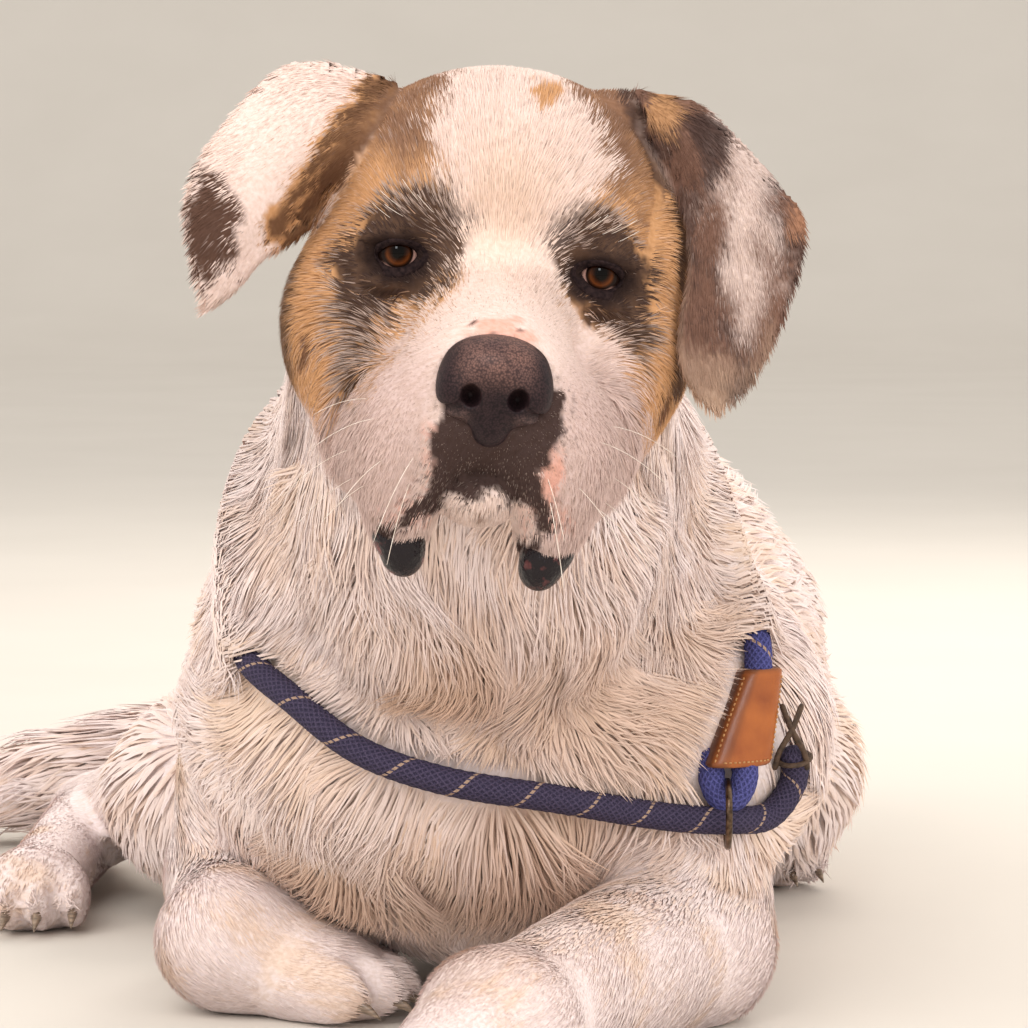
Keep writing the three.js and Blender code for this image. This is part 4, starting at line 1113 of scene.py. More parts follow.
map_uv(skin, "Strand", skin_points[:, [0, 2]] / 3 + skin_points[:, [1]] / 4)
FLESH = [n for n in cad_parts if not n.startswith(("slip_", "eye", "nose", "lip"))]
place(skin, "white_coat", *FLESH)

# The slip loop's line
RING_CENTRE = np.array([123, 189, 129.0])
LOOP_BEHIND = [(152, 245, 285), (135, 300, 335), (85, 345, 385), (0, 368, 410), (-85, 352, 395),
               (-145, 300, 345), (-176, 240, 285)]
LOOP_IN_FRONT = [(-158, 207, 225), (-122, 167, 195), (-87, 148, 171), (-42, 139, 156), (26, 150, 143),
                 (78, 179, 130)]
ROPE_SUNK = 8
loop_laid = settle(body_outline, LOOP_BEHIND + LOOP_IN_FRONT, -ROPE_SUNK)
rope_path = np.vstack([
    [(141, 207, 200), (141, 219, 226)], loop_laid, [(104, 187, 126)], [RING_CENTRE + (0, 2, -4)],
    [(149, 214, 125), (163, 222, 144), (162, 217, 165)],
])
rope_line = curve_points(rope_path, 620)
rope_tree = kdtree.KDTree(len(rope_line))
for i, at in enumerate(rope_line):
    rope_tree.insert(at, i)
rope_tree.balance()
SLEEVE_BOTTOM = RING_CENTRE + (5.6, 5, 27.5)
SLEEVE_TOP = RING_CENTRE + (19.5, 23, 82)
worn_forms = [
    limb(SLEEVE_BOTTOM, SLEEVE_TOP, 20, 14),
    egg(RING_CENTRE + (0, 2, 18), (20, 10, 16)),
    egg(RING_CENTRE, (4, 21, 21)),
    limb(rope_path[-1], rope_path[-1] + (0, -8, 12), 11, 11),
]


ROPE_ABOVE_SKIN = 9
# The coat covers the rope above these heights, on its right and its left, and there with a slant
COVER_HEIGHTS = (217, 232)
COVER_SLANT = 1.2


def beside_rope(p):
    """How far points on the skin lie to the side of the rope's line, and how far the coat covers it there."""
    aside, cover = np.full(len(p), 60.0), np.zeros(len(p))
    low, high = rope_line.min(0) - 40, rope_line.max(0) + 40
    for i in np.nonzero(((p > low) & (p < high)).all(1))[0]:
        at, _, gap = rope_tree.find(p[i])
        if gap < 50:
            aside[i] = math.sqrt(max(gap * gap - ROPE_ABOVE_SKIN**2, 0))
            inner = min(max(at[0] - p[i, 0], -10), 18) if at[0] > 0 else 0
            cover[i] = at[2] > COVER_HEIGHTS[at[0] > 0] - COVER_SLANT * inner
    return aside, cover


def clear_of_worn(p, slack):
    """Whether coat that stands over these points of the skin leaves what the dog wears in view."""
    aside, cover = beside_rope(p)
    forms = np.min([form(p) for form in worn_forms], axis=0)
    return ((aside > ROPE_RADIUS + slack) | (cover > 0)) & (forms > 3 + slack)


def blocked(p):
    """Places where no tuft may stand: on the eyes, the nose and the lips' pockets."""
    q = to_head(p)
    bare = nose_bed(q) < 3.5
    for s in (-1, 1):
        bare |= egg((s * 54.5, -8, -1.4), (12.3, 20, 8.0))(q) < 0
        bare |= egg((s * 37, -62, -156), (10, 16, 12))(q) < 0
    return bare


# Coat
def roots_on_skin():
    corner = skin_points[skin_quads]
    cross = np.cross(corner[:, 2] - corner[:, 0], corner[:, 3] - corner[:, 1])
    area = length_of(cross) / 200
    centre = corner.mean(1)
    weights = skin_weights[skin_quads].mean(1)
    density = weights @ COAT_TABLE[:, 4]
    density *= 1 + 4.1 * (1 - smooth(centre[:, 1], 200, 330)) * share_of(weights, "trunk")
    facing_back = skin_normals[skin_quads].mean(1)[:, 1]
    density *= 1 + share_of(weights, "neck", "head") * (0.25 - 0.75 * smooth(facing_back, -0.15, 0.35))
    upper = share_of(weights, "foreleg_left", "foreleg_right") * smooth(centre[:, 2], 60, 110)
    density *= 1 - 0.35 * upper
    density *= smooth(centre[:, 2], 1, 12)
    count = (density * area + rng.random(len(area))).astype(int)
    face = np.repeat(np.arange(len(count)), count)
    u, v = rng.random((2, len(face), 1))
    share = np.concatenate([(1 - u) * (1 - v), u * (1 - v), u * v, (1 - u) * v], 1)
    at = np.einsum("ij,ijk->ik", share, corner[face])
    normal = unit(np.einsum("ij,ijk->ik", share, skin_normals[skin_quads[face]]))
    weight = np.einsum("ij,ijk->ik", share, skin_weights[skin_quads[face]])
    keep = ~blocked(at)
    return at[keep], normal[keep], weight[keep]


def coat_sizes(at, normal, weights):
    """Length, width, height, wave and clumping at each root."""
    table = weights @ COAT_TABLE
    length, width, height, wave, _, clump = table.T
    q = to_head(at)
    on_head = share_of(weights, "head")
    short = 0.3 + 0.7 * smooth(length_of(q - NOSE_TIP), 20, 110)
    cheek = smooth(np.abs(q[:, 0]), 60, 90) * smooth(-q[:, 2], 0, 60)
    length = length * (1 - on_head + on_head * short * (1 + 0.9 * cheek))
    width = width * (1 - on_head + on_head * (0.55 + 0.45 * short))
    chest = (1 - smooth(at[:, 1], 190, 330)) * share_of(weights, "trunk")
    length = length * (1 + 0.35 * chest)
    width = width * (1 - 0.60 * chest)
    wave = wave * (1 + 0.6 * chest)
    width = width * (1 + 0.45 * share_of(weights, "neck", "head") * smooth(normal[:, 1], -0.15, 0.35))
    rear = share_of(weights, "thigh_left", "thigh_right") * smooth(normal[:, 1], -0.1, 0.5)
    length = length * (1 + 0.7 * rear)
    upper = share_of(weights, "foreleg_left", "foreleg_right") * smooth(at[:, 2], 60, 110)
    length = length * (1 + 0.8 * upper)
    width = width * (1 + 0.3 * upper)
    return length, width, height, wave, clump


def grow(at, normal, weights, sizes, rings):
    """The centre line of each tuft, stepping along the skin and rising from it."""
    length, height, wave = sizes
    line, levels, outs, sides = [at - 0.8 * normal], [at], [normal], []
    here, out = at, normal
    flow, turn = lie(at, weights)
    lean = rng.normal(0, 0.055, len(at)) + turn
    lift = length * height * rng.uniform(0.82, 1.1, len(at)) * (1 + 0.34 * billow(at))
    phase = 2.2 * sweep_fine(at) + rng.uniform(0, 1.3, len(at))
    for k in range(1, rings + 1):
        share = k / rings
        along = unit(flow - (flow * out).sum(1)[:, None] * out)
        side = np.cross(out, along)
        along = unit(along * np.cos(lean)[:, None] + side * np.sin(lean)[:, None])
        if k == 1:
            sides.append(np.cross(out, along))
        here = here + along * (length / rings)[:, None]
        rise = lift * (share - 0.30 * share**2) / 0.7
        if rings > 1:
            depth, gradient = slope_one(skin_field, here)
            out = unit(gradient)
            here = here - out * np.clip(depth, -40, 40)[:, None]
            flow, _ = lie(here, weights)
            aside, cover = beside_rope(here)
            over_rope = (ROPE_ABOVE_SKIN + ROPE_RADIUS + 5) * np.exp(-((aside / 15) ** 2)) * cover
            rise = np.maximum(rise, over_rope)
        side = np.cross(out, along)
        sway = wave * np.sin(phase + 3.4 * share) * share
        levels.append(here)
        line.append(here + out * rise[:, None] + side * sway[:, None])
        outs.append(out)
        sides.append(side)
    return np.stack(line, 1), np.stack(levels, 1), np.stack(outs, 1), np.stack(sides, 1)


def slope_one(field, p, step=0.8):
    """The field at each point, and its slope from one more look along each axis."""
    here = field(p)
    return here, np.stack([(field(p + step * axis) - here) / step for axis in np.eye(3)], 1)


def clump_together(at, line, clump, spacing):
    """Draws each tuft's outer part towards a neighbour that leads its lock."""
    cell = np.floor(at / spacing).astype(np.int64)
    key = (cell[:, 0] * 4001 + cell[:, 1]) * 4001 + cell[:, 2]
    order = rng.permutation(len(at))
    _, first = np.unique(key[order], return_index=True)
    leaders = order[first]
    tree = kdtree.KDTree(len(leaders))
    for i, leader in enumerate(leaders):
        tree.insert(at[leader], i)
    tree.balance()
    jitter = rng.normal(0, spacing * 0.22, at.shape)
    lead = leaders[[tree.find(p)[1] for p in at + jitter]]
    steps = line.shape[1] - 1
    pull = clump[:, None] * (np.arange(steps + 1) / steps) ** 1.3
    return line + (line[lead] - line) * pull[..., None], length_of(at - at[lead]) / spacing


def shorten(line, levels, outs, sides, tries=(1, 0.8, 0.6, 0.42, 0.28)):
    """Scales each tuft about its root until it is clear of what the dog wears."""
    root, foot = line[:, :1], levels[:, :1]
    scale = np.zeros(len(line))
    slack = rng.uniform(-3, 1, len(line))
    open_ones = np.arange(len(line))
    for part in tries:
        if len(open_ones) == 0:
            break
        shape = foot[open_ones] + (levels[open_ones] - foot[open_ones]) * part
        spots = np.concatenate([shape, 0.5 * (shape[:, 1:] + shape[:, :-1])], 1)
        wanted = np.repeat(slack[open_ones], spots.shape[1])
        clear = clear_of_worn(spots.reshape(-1, 3), wanted).reshape(len(open_ones), -1).all(1)
        scale[open_ones[clear]] = part
        open_ones = open_ones[~clear]
    keep = scale > 0
    line = root + (line - root) * scale[:, None, None]
    return line[keep], outs[keep], sides[keep], keep


LOCK_SPACING = 30
BLADE_THICKNESS = 0.36
WIDTHS = {1: (1.0,), 2: (0.85, 0.8), 3: (0.7, 1.0, 0.62)}


def tuft_mesh(line, outs, sides, width, rings):
    """Closed blades: three-sided rings along the line, and a tip. Gives points and triangles."""
    count = len(line)
    profile = WIDTHS[rings]
    points = []
    for k in range(rings):
        half = (0.5 * width * profile[k])[:, None]
        left, right = line[:, k] - sides[:, k] * half, line[:, k] + sides[:, k] * half
        points += [left, line[:, k] + outs[:, k] * half * BLADE_THICKNESS, right]
    points.append(line[:, rings])
    per = 3 * rings + 1
    points = np.stack(points, 1)
    faces = [(0, 1, 2)]
    for k in range(rings - 1):
        for side in range(3):
            a, b = 3 * k + side, 3 * k + (side + 1) % 3
            faces += [(b, a, a + 3), (b, a + 3, b + 3)]
    last = 3 * (rings - 1)
    faces += [(last + (side + 1) % 3, last + side, per - 1) for side in range(3)]
    faces = np.array(faces)[None] + (np.arange(count) * per)[:, None, None]
    return points, faces.reshape(-1, 3)


def corner_normals(points, faces, soft, rings):
    """The skin's own softened normals on the upper faces of each tuft, and plain ones on its underside."""
    corner = points.reshape(-1, 3)[faces]
    flat = unit(np.cross(corner[:, 1] - corner[:, 0], corner[:, 2] - corner[:, 0]))
    under = [True] + [False, False, False, False, True, True] * (rings - 1) + [False, False, True]
    under = np.tile(under, len(points))
    return np.where(under[:, None, None], flat[:, None], soft[faces]).reshape(-1, 3)


# The unwrap of the skin: each region is rolled out round its own middle line
def unrolled(p, start, end):
    start, along = np.array(start, float), np.array(end, float) - np.array(start, float)
    along_unit = along / np.linalg.norm(along)
    q = p - start
    v = q @ along_unit / np.linalg.norm(along)
    side = np.cross(along_unit, [0.0, 0.0, 1.0])
    side = side / max(np.linalg.norm(side), 1e-6)
    up = np.cross(side, along_unit)
    u = np.arctan2(q @ side, q @ up) / (2 * math.pi) + 0.5
    return np.stack([u, np.clip(v * 0.7 + 0.15, 0, 1)], 1)


UNWRAP_LINES = {
    "trunk": ((-20, 150, 190), (60, 960, 170)),
    "neck": ((-10, 60, 470), (-20, 280, 230)),
    "head": tuple(of_head([(0, -110, -70), (0, 150, 20)])),
    "tail": ((40, 1025, 88), (-430, 900, 38)),
}
for side in ("right", "left"):
    _, elbow, wrist, toes = FORELEG[side]
    UNWRAP_LINES["foreleg_" + side] = (elbow, wrist)
    UNWRAP_LINES["forepaw_" + side] = (wrist, toes)
    hip, knee, hock, toes = HINDLEG[side]
    UNWRAP_LINES["thigh_" + side] = (hip, knee)
    UNWRAP_LINES["hindleg_" + side] = (knee, hock)
    UNWRAP_LINES["hindpaw_" + side] = (hock, toes)


def unwrap(at, normal, region):
    """A place in the square for each root. An ear's outer face is on one half, its inner on the other."""
    if region in EARS:
        edges = np.array(sum(EAR_EDGES[region], []))[:, [0, 2]]
        low, high = edges.min(0) - 10, edges.max(0) + 10
        flat = (to_head(at)[:, [0, 2]] - low) / (high - low)
        outer = (normal @ HEAD_TURN.T)[:, 1] < 0
        return np.stack([flat[:, 0] * 0.48 + np.where(outer, 0, 0.5), flat[:, 1]], 1)
    return unrolled(at, *UNWRAP_LINES[region])


# Size of a tuft's patch in the square, tilt of the normals across a blade, and spread of its brightness
PATCH = 0.003
BLADE_TILTS = np.array([-0.45, 0.1, 0.45])
BRIGHTNESS_SPREAD = 0.035
MOST_TRIANGLES = 190000
coat_material_long = coat_material("long_coat", 60)
coat_material_short = coat_material("short_coat", 120)
COAT_SLOTS = {"ear_left": "brown_ear_coat", "ear_right": "pale_ear_coat", "head": "face_coat"}


def coat_piece(name, region, part, rings):
    at, normal, line, outs, sides, width, colour = part
    points, faces = tuft_mesh(line, outs, sides, width, rings)
    points[..., 2] = np.maximum(points[..., 2], FLOOR_GAP)
    soft_normal = unit(0.75 * outs[:, 0] + 0.25 * outs[:, -1])
    ring_normals = [unit(soft_normal + t * sides[:, k]) for k in range(rings) for t in BLADE_TILTS]
    normals = corner_normals(points, faces, np.stack([*ring_normals, soft_normal], 1).reshape(-1, 3), rings)
    material = coat_material_long if rings > 1 else coat_material_short
    made = mesh_object(name, points.reshape(-1, 3), faces, material, normals)
    share = np.array([k / rings for k in range(rings) for _ in range(3)] + [1.0])
    brightness = rng.normal(1, BRIGHTNESS_SPREAD, (len(at), 1, 1))
    toward_tip = np.clip(share * 1.3, 0, 1)[None, :, None]
    shown = (colour[:, :1] + (colour[:, 1:] - colour[:, :1]) * toward_tip) * brightness
    pale = smooth(colour[:, 0].mean(1), 0.45, 0.6)[:, None, None]
    shown = shown + (WARM - shown) * pale * (1 - share)[None, :, None] * 0.27
    paint(made, "Marking", np.clip(shown, 0.006, 0.93).reshape(-1, 3))
    place_uv = np.clip(unwrap(at, normal, region), PATCH, 1 - PATCH)
    across = np.array([(-0.5, 0, 0.5)[i % 3] for i in range(3 * rings)] + [0.0])
    offset = np.stack([across, share - 0.5], 1) * PATCH
    map_uv(made, "OFBake", (place_uv[:, None] + offset[None]).reshape(-1, 2))
    start_at = rng.uniform(0, 40, (len(at), 1, 2))
    reach = length_of(line[:, -1] - line[:, 0])
    strand = np.stack([across[None] * width[:, None] / 0.42, share[None] * reach[:, None] / 16], 2)
    map_uv(made, "Strand", (start_at + strand).reshape(-1, 2))
    place(made, COAT_SLOTS.get(region, "white_coat"))


LENGTH_NAMES = {1: "short", 2: "middle", 3: "long"}
FINE_LOCKS = {2: 5, 3: 8}


def make_coat():
    at, normal, weights = roots_on_skin()
    length, width, height, wave, clump = coat_sizes(at, normal, weights)
    jitter = rng.random(len(at))
    root_colour, tip_colour, bare = markings(at, weights, jitter)
    colour = np.stack([root_colour, tip_colour], 1)
    length = length * rng.uniform(0.84, 1.16, len(at)) * (1 - 0.75 * bare)
    width = width * rng.uniform(0.75, 1.25, len(at)) * (1 - 0.3 * bare)
    flow, _ = lie(at, weights)
    along = unit(flow - (flow * normal).sum(1)[:, None] * normal)
    hollow = -in_chunks(skin_field, at + along * (0.75 * length)[:, None])
    length = length * (1 - 0.65 * smooth(hollow, 2, 14))
    region = np.argmax(weights, 1)
    waved = (at[:, 1] < 330) | (share_of(weights, "tail") > 0.5)
    kind = np.where((length > 30) & waved, 3, np.where(length > 15.5, 2, 1))
    for rings in LENGTH_NAMES:
        here = kind == rings
        root, root_normal, root_weights, widths, shown, regions = (
            a[here] for a in (at, normal, weights, width, colour, region))
        sizes = [a[here] for a in (length, height, wave)]
        line, levels, outs, sides = grow(root, root_normal, root_weights, sizes, rings)
        if rings > 1:
            line, aside = clump_together(root, line, 0.62 * clump[here], LOCK_SPACING)
            # Painted shade: tufts at the edges of each large lock turn darker beige, as in the shade between
            # locks
            lock_edge_shade = 0.46 * smooth(aside, 0.30, 0.85) * smooth(shown[:, 0].mean(1), 0.45, 0.6)
            shown = shown + (BEIGE * 1.08 - shown) * lock_edge_shade[:, None, None]
            line, _ = clump_together(root, line, 0.8 * clump[here], FINE_LOCKS[rings])
        line, outs, sides, keep = shorten(line, levels, outs, sides)
        root, root_normal, widths, shown, regions = (
            a[keep] for a in (root, root_normal, widths, shown, regions))
        for index, name in enumerate(NAMES):
            mine = np.nonzero(regions == index)[0]
            if len(mine) == 0:
                continue
            order = mine[np.argsort(root[mine, 1])]
            pieces = math.ceil(len(order) / (MOST_TRIANGLES // (6 * rings - 2)))
            for number, chosen in enumerate(np.array_split(order, pieces)):
                part = [a[chosen] for a in (root, root_normal, line, outs, sides, widths, shown)]
                coat_piece(f"coat_{name}_{LENGTH_NAMES[rings]}_{number}", name, part, rings)


make_coat()


# Eyes
EYEBALL_AROUND = 48
EYEBALL_DOWN = 40


def eyeball(centre, shape):
    """Points and faces of an eyeball whose poles lie along y, in the head's frame."""
    count, rows = EYEBALL_AROUND, EYEBALL_DOWN - 1
    across, up = np.array([1.0, 0, 0]), np.array([0, 0, 1.0])
    rings = [ring_about(np.array([0, -math.cos(t), 0]), math.sin(t) * across, math.sin(t) * up, count)
             for t in np.linspace(0, math.pi, EYEBALL_DOWN + 1)[1:-1]]
    points = shape(np.vstack([[(0, -1, 0)], *rings, [(0, 1, 0)]]))
    faces = lofted(rows, count, 1, "open")
    last = 1 + (rows - 1) * count
    for j in range(count):
        k = (j + 1) % count
        faces += [(1 + k, 1 + j, 0), (last + j, last + k, len(points) - 1)]
    return points * EYE_RADIUS + centre, faces


IRIS_RADIUS = 8.0


def eye_material():
    wet = {"Specular_IOR_Level": 0.0, "Coat_Weight": 0.2, "Coat_Roughness": 0.03}
    material, tree, shader = new_material("eye", 0.12, **wet)
    off = add(tree, "ShaderNodeAttribute", attribute_name="OffAxis").outputs["Fac"]
    haw = add(tree, "ShaderNodeAttribute", attribute_name="Haw").outputs["Fac"]
    wavy = add(tree, "ShaderNodeMath", operation="MULTIPLY_ADD")
    wavy.inputs[1].default_value = 0.05
    link(tree, noise(tree, 900, 4), wavy.inputs[0])
    link(tree, off, wavy.inputs[2])
    iris = ramp(
        tree, wavy.outputs[0],
        (0.0, (0.003, 0.002, 0.002)), (0.26, (0.004, 0.003, 0.002)), (0.36, (0.026, 0.008, 0.003)),
        (0.53, (0.105, 0.030, 0.008)), (0.63, (0.034, 0.011, 0.004)), (0.70, (0.010, 0.005, 0.004)),
        (1.0, (0.012, 0.006, 0.005)),
    )
    under_lid = add(tree, "ShaderNodeAttribute", attribute_name="LidShadow").outputs["Fac"]
    lid_shadow = ramp(tree, under_lid, (0.0, (1, 1, 1)), (1.0, (0.12, 0.10, 0.09)))
    iris = mix(tree, 1.0, iris, lid_shadow, "MULTIPLY")
    outer = ramp(tree, off, (0.72, (0, 0, 0)), (0.80, (1, 1, 1)))
    pink = mix(tree, 1.0, outer, mix(tree, haw, (0, 0, 0), (1, 1, 1)), "MULTIPLY")
    link(tree, mix(tree, pink, iris, (0.40, 0.24, 0.21)), shader.inputs["Base Color"])
    return material


eye_look = eye_material()
for s, side in ((-1, "right"), (1, "left")):
    gaze = unit(np.array([[-s * 0.02, -1, 0.03]]))[0]

    def bulge(d):
        off = np.arccos(np.clip(d @ gaze, -1, 1)) * EYE_RADIUS
        return d * (1 + 0.055 * (1 - smooth(off, 0, IRIS_RADIUS * 1.15)))[:, None]

    centre = np.array([s * EYE_SPACING / 2, 0, 0])
    points, faces = eyeball(centre, bulge)
    off = np.arccos(np.clip(unit(points - centre) @ gaze, -1, 1)) * EYE_RADIUS
    made = mixed_mesh(f"eyeball_{side}", of_head(points), faces, eye_look)
    measure(made, "OffAxis", off / (IRIS_RADIUS / 0.68))
    local = points - centre
    nasal = smooth(-s * local[:, 0], 5.5, 8.5)
    lower = smooth(-local[:, 2], 5.0, 6.6) * 0.6
    measure(made, "Haw", np.clip(nasal + lower, 0, 1))
    # Painted shadow of the upper lid: the iris darkens towards its top
    measure(made, "LidShadow", smooth(local[:, 2], -3.0, 4.0))
    place(made, "eye", f"eye_{side}")


# Lids: rings from the rim of the opening outwards over the skin
def almond(angle, s):
    """The rim of the eye's opening: it droops towards the outer corner."""
    x = np.cos(angle)
    top = np.sin(angle) > 0
    high = np.where(top, 5.7, 7.1)
    z = np.sin(angle) * high * (1 - 0.28 * np.abs(x) ** 3)
    return s * (11.0 * x), z - 0.9 - 1.0 * x


lid_material = speckled(
    "lid_skin", 0.7, (500,), (0.3, (0.007, 0.004, 0.005)), (0.75, (0.030, 0.018, 0.018)),
    (1400, 0.5, 0.0004), Specular_IOR_Level=0.06,
)
LID_ROWS = [(0.90, 11.6), (0.95, 12.9), (1.0, 13.6), (1.05, 14.2), (1.11, 14.7)]
head_only = in_head_frame(head_skin)
for s, side in ((-1, "right"), (1, "left")):
    angle = np.linspace(0, 2 * np.pi, 72, endpoint=False)
    x, z = almond(angle, s)
    rows = []
    for scale, radius in LID_ROWS:
        px, pz = x * scale, z * scale
        depth = np.sqrt(np.maximum(radius**2 - px**2 - pz**2, 4))
        rows.append(np.stack([s * EYE_SPACING / 2 + px, -depth, pz], 1))
    for scale, rise in ((1.18, 0.6), (1.28, 0.2), (1.40, -0.9)):
        px, pz = x * scale, z * scale * 1.15
        flat = np.stack([s * EYE_SPACING / 2 + px, np.full_like(px, -16.0), pz], 1)
        rows.append(to_head(settle(head_only, of_head(flat), rise, 6)))
    points = np.vstack(rows)
    faces = lofted(len(rows), len(angle), ends="open")
    if s < 0:
        faces = [f[::-1] for f in faces]
    made = mixed_mesh(f"eyelids_{side}", of_head(points), faces, lid_material)
    place(made, "lip_skin")

# Nose
nose_field = carve(
    2,
    blend(
        11,
        egg((0, -104, -55), (28, 21, 20)),
        egg((0, -108, -48), (22, 14, 11)),
        egg((0, -102, -76), (12.5, 14, 15)),
        *both(lambda s: egg((s * 18.5, -111, -65), (10, 11, 11))),
    ),
    *both(lambda s: egg((s * 12, -126, -65), (5.4, 16, 6.2), s * 18)),
    *both(lambda s: chain([(s * 13, -125, -69), (s * 20, -119, -74), (s * 28, -108, -72)], [4.2, 3.6, 2.6])),
    chain([(0, -129, -64), (0, -126, -76), (0, -119, -94)], [1.0, 1.5, 1.4]),
)
nose_points, nose_quads = surface(
    nose_field, [spaced((-36, 36, 0.9)), spaced((-134, -82, 0.9)), spaced((-98, -30, 0.9))]
)
nose_material, tree, shader = new_material("nose_leather", 0.45, Specular_IOR_Level=0.16)
cells = add(tree, "ShaderNodeTexVoronoi", Scale=900.0)
link(tree, add(tree, "ShaderNodeTexCoord").outputs["Object"], cells.inputs["Vector"])
nose_tone = add(tree, "ShaderNodeAttribute", attribute_name="Marking").outputs["Color"]
blotch = ramp(tree, noise(tree, 60), (0.3, (0.72, 0.72, 0.78)), (0.7, (1.25, 1.2, 1.15)))
nose_colour = mix(tree, 1.0, nose_tone, blotch, "MULTIPLY")
# Painted shade in the grooves between the leather's cobbles
pebble_groove_shade = ramp(tree, cells.outputs["Distance"], (0.0, (1.3, 1.25, 1.2)), (0.75, (0.35, 0.35, 0.38)))
nose_colour = mix(tree, 1.0, nose_colour, pebble_groove_shade, "MULTIPLY")
link(tree, nose_colour, shader.inputs["Base Color"])
bump(tree, shader, cells.outputs["Distance"], -0.9, 0.001)
nose = mesh_object("nose_pad", of_head(nose_points), nose_quads, nose_material)
# The leather is lighter brown on its top: partly its own colour, partly painted light falling on the top
on_pad = smooth(nose_points[:, 2], -66, -48) * (1 - smooth(np.abs(nose_points[:, 0]), 12, 26))
wing = 0.6 * (1 - smooth(np.abs(nose_points[:, 2] + 77), 2, 6)) * smooth(np.abs(nose_points[:, 0]), 9, 15)
NOSE_DARK = np.array([0.030, 0.017, 0.020])
NOSE_TOP = np.array([0.155, 0.090, 0.080])
NOSE_WING = np.array([0.13, 0.085, 0.08])
pad_colour = over(plain(NOSE_DARK, len(nose_points)), NOSE_TOP, on_pad)
paint(nose, "Marking", over(pad_colour, NOSE_WING, wing))
place(nose, "nose_leather", "nose")

# The wet pocket of lip at the foot of each flew
wet_material = speckled(
    "wet_lip", 0.22, (110,), (0.60, (0.009, 0.006, 0.008)), (0.72, (0.12, 0.035, 0.036)),
    (260, 0.9, 0.0016), Specular_IOR_Level=0.25,
)
for s, side in ((-1, "right"), (1, "left")):
    lip_field = carve(
        3,
        blend(
            5,
            egg((s * 37, -58, -148), (12.5, 13, 15), s * 10),
            egg((s * 35, -56, -156), (9, 12, 9)),
            egg((s * 46, -54, -144), (7, 10, 8)),
        ),
        egg((s * 35, -77, -150), (5.5, 4, 8), s * 12),
        chain([(s * 42, -74, -144), (s * 44, -71, -156)], [1.3, 1.0]),
    )
    low = np.array([s * 40 - 20, -84, -170.0])
    lip_points, lip_quads = surface(lip_field, [spaced((a, b, 1.1)) for a, b in zip(low, low + (40, 52, 42))])
    made = mesh_object(f"lip_pocket_{side}", of_head(lip_points), lip_quads, wet_material)
    place(made, "lip_skin", f"lip_{side}")


# Claws
claw_material = speckled(
    "claw_horn", 0.35, (140, 2, (1, 1, 6)), (0.3, (0.10, 0.07, 0.05)), (0.7, (0.32, 0.24, 0.18))
)
CLAW_RINGS = 7
CLAW_SIDES = 10
claw_rings, claw_faces = [], []
for leg in (*FORELEG.values(), *HINDLEG.values()):
    for centre, heading in toe_places(*leg[2:]):
        ahead = np.array([-math.sin(math.radians(heading)), math.cos(math.radians(heading)), 0])
        side = np.array([ahead[1], -ahead[0], 0])
        claw_faces += lofted(CLAW_RINGS, CLAW_SIDES, len(claw_rings) * CLAW_SIDES)
        for share in np.linspace(0, 1, CLAW_RINGS):
            bend = math.radians(10 + 60 * share)
            at = centre + ahead * (14 + 20 * share) + np.array([0, 0, -5 - 9 * share**1.6])
            radius = 4.6 * (1 - share**1.6) + 0.4
            up = np.array([0, 0, 1]) * math.cos(bend) + ahead * math.sin(bend)
            claw_rings.append(ring_about(at, side * radius * 0.8, up * radius, CLAW_SIDES))
claw_points = np.vstack(claw_rings)
claw_points[:, 2] = np.maximum(claw_points[:, 2], FLOOR_GAP)
place(mixed_mesh("claws", claw_points, claw_faces, claw_material), "lip_skin")


# Rope, with its braid raised on the surface
def frames_along(line):
    """A frame carried along a line without twist."""
    along = unit(np.gradient(line, axis=0))
    side = np.cross(along[0], [0, 0, 1.0])
    side /= np.linalg.norm(side)
    sides = [side]
    for a in along[1:]:
        side = side - a * (side @ a)
        side = side / np.linalg.norm(side)
        sides.append(side)
    sides = np.array(sides)
    return along, sides, np.cross(along, sides)


BRAID_STRANDS = 9
BRAID_PITCH = 7
ROPE_SIDES = 36


def rope_tube(name, line, radius, material, seam, bright=None):
    """A tube whose seam lies towards the given directions."""
    along = unit(np.gradient(line, axis=0))
    sides = unit(seam - (seam * along).sum(1)[:, None] * along)
    ups = np.cross(along, sides)
    run = np.concatenate([[0], np.cumsum(length_of(np.diff(line, axis=0)))])
    angle = np.linspace(0, 2 * np.pi, ROPE_SIDES, endpoint=False)
    a, r = angle[None, :], run[:, None]
    relief = 0.25 * np.sin(BRAID_STRANDS * a) * np.sin(2 * np.pi * r / BRAID_PITCH) - 0.2
    ends = np.minimum(run, run[-1] - run)
    taper = np.sqrt(np.clip(ends / (radius * 0.6), 0.02, 1))[:, None]
    size = (radius + relief) * taper
    outward = np.cos(a)[..., None] * sides[:, None] + np.sin(a)[..., None] * ups[:, None]
    points = line[:, None] + size[..., None] * outward
    made = mixed_mesh(name, points.reshape(-1, 3), lofted(len(line), ROPE_SIDES), material)
    measure(made, "Round", np.broadcast_to(a / (2 * np.pi), size.shape).ravel())
    measure(made, "Run", np.broadcast_to(r, size.shape).ravel())
    measure(made, "Bright", np.repeat(np.zeros(len(line)) if bright is None else bright, ROPE_SIDES))
    return made


WEAVE_STRANDS = 14
WEAVE_PITCH = 4.4


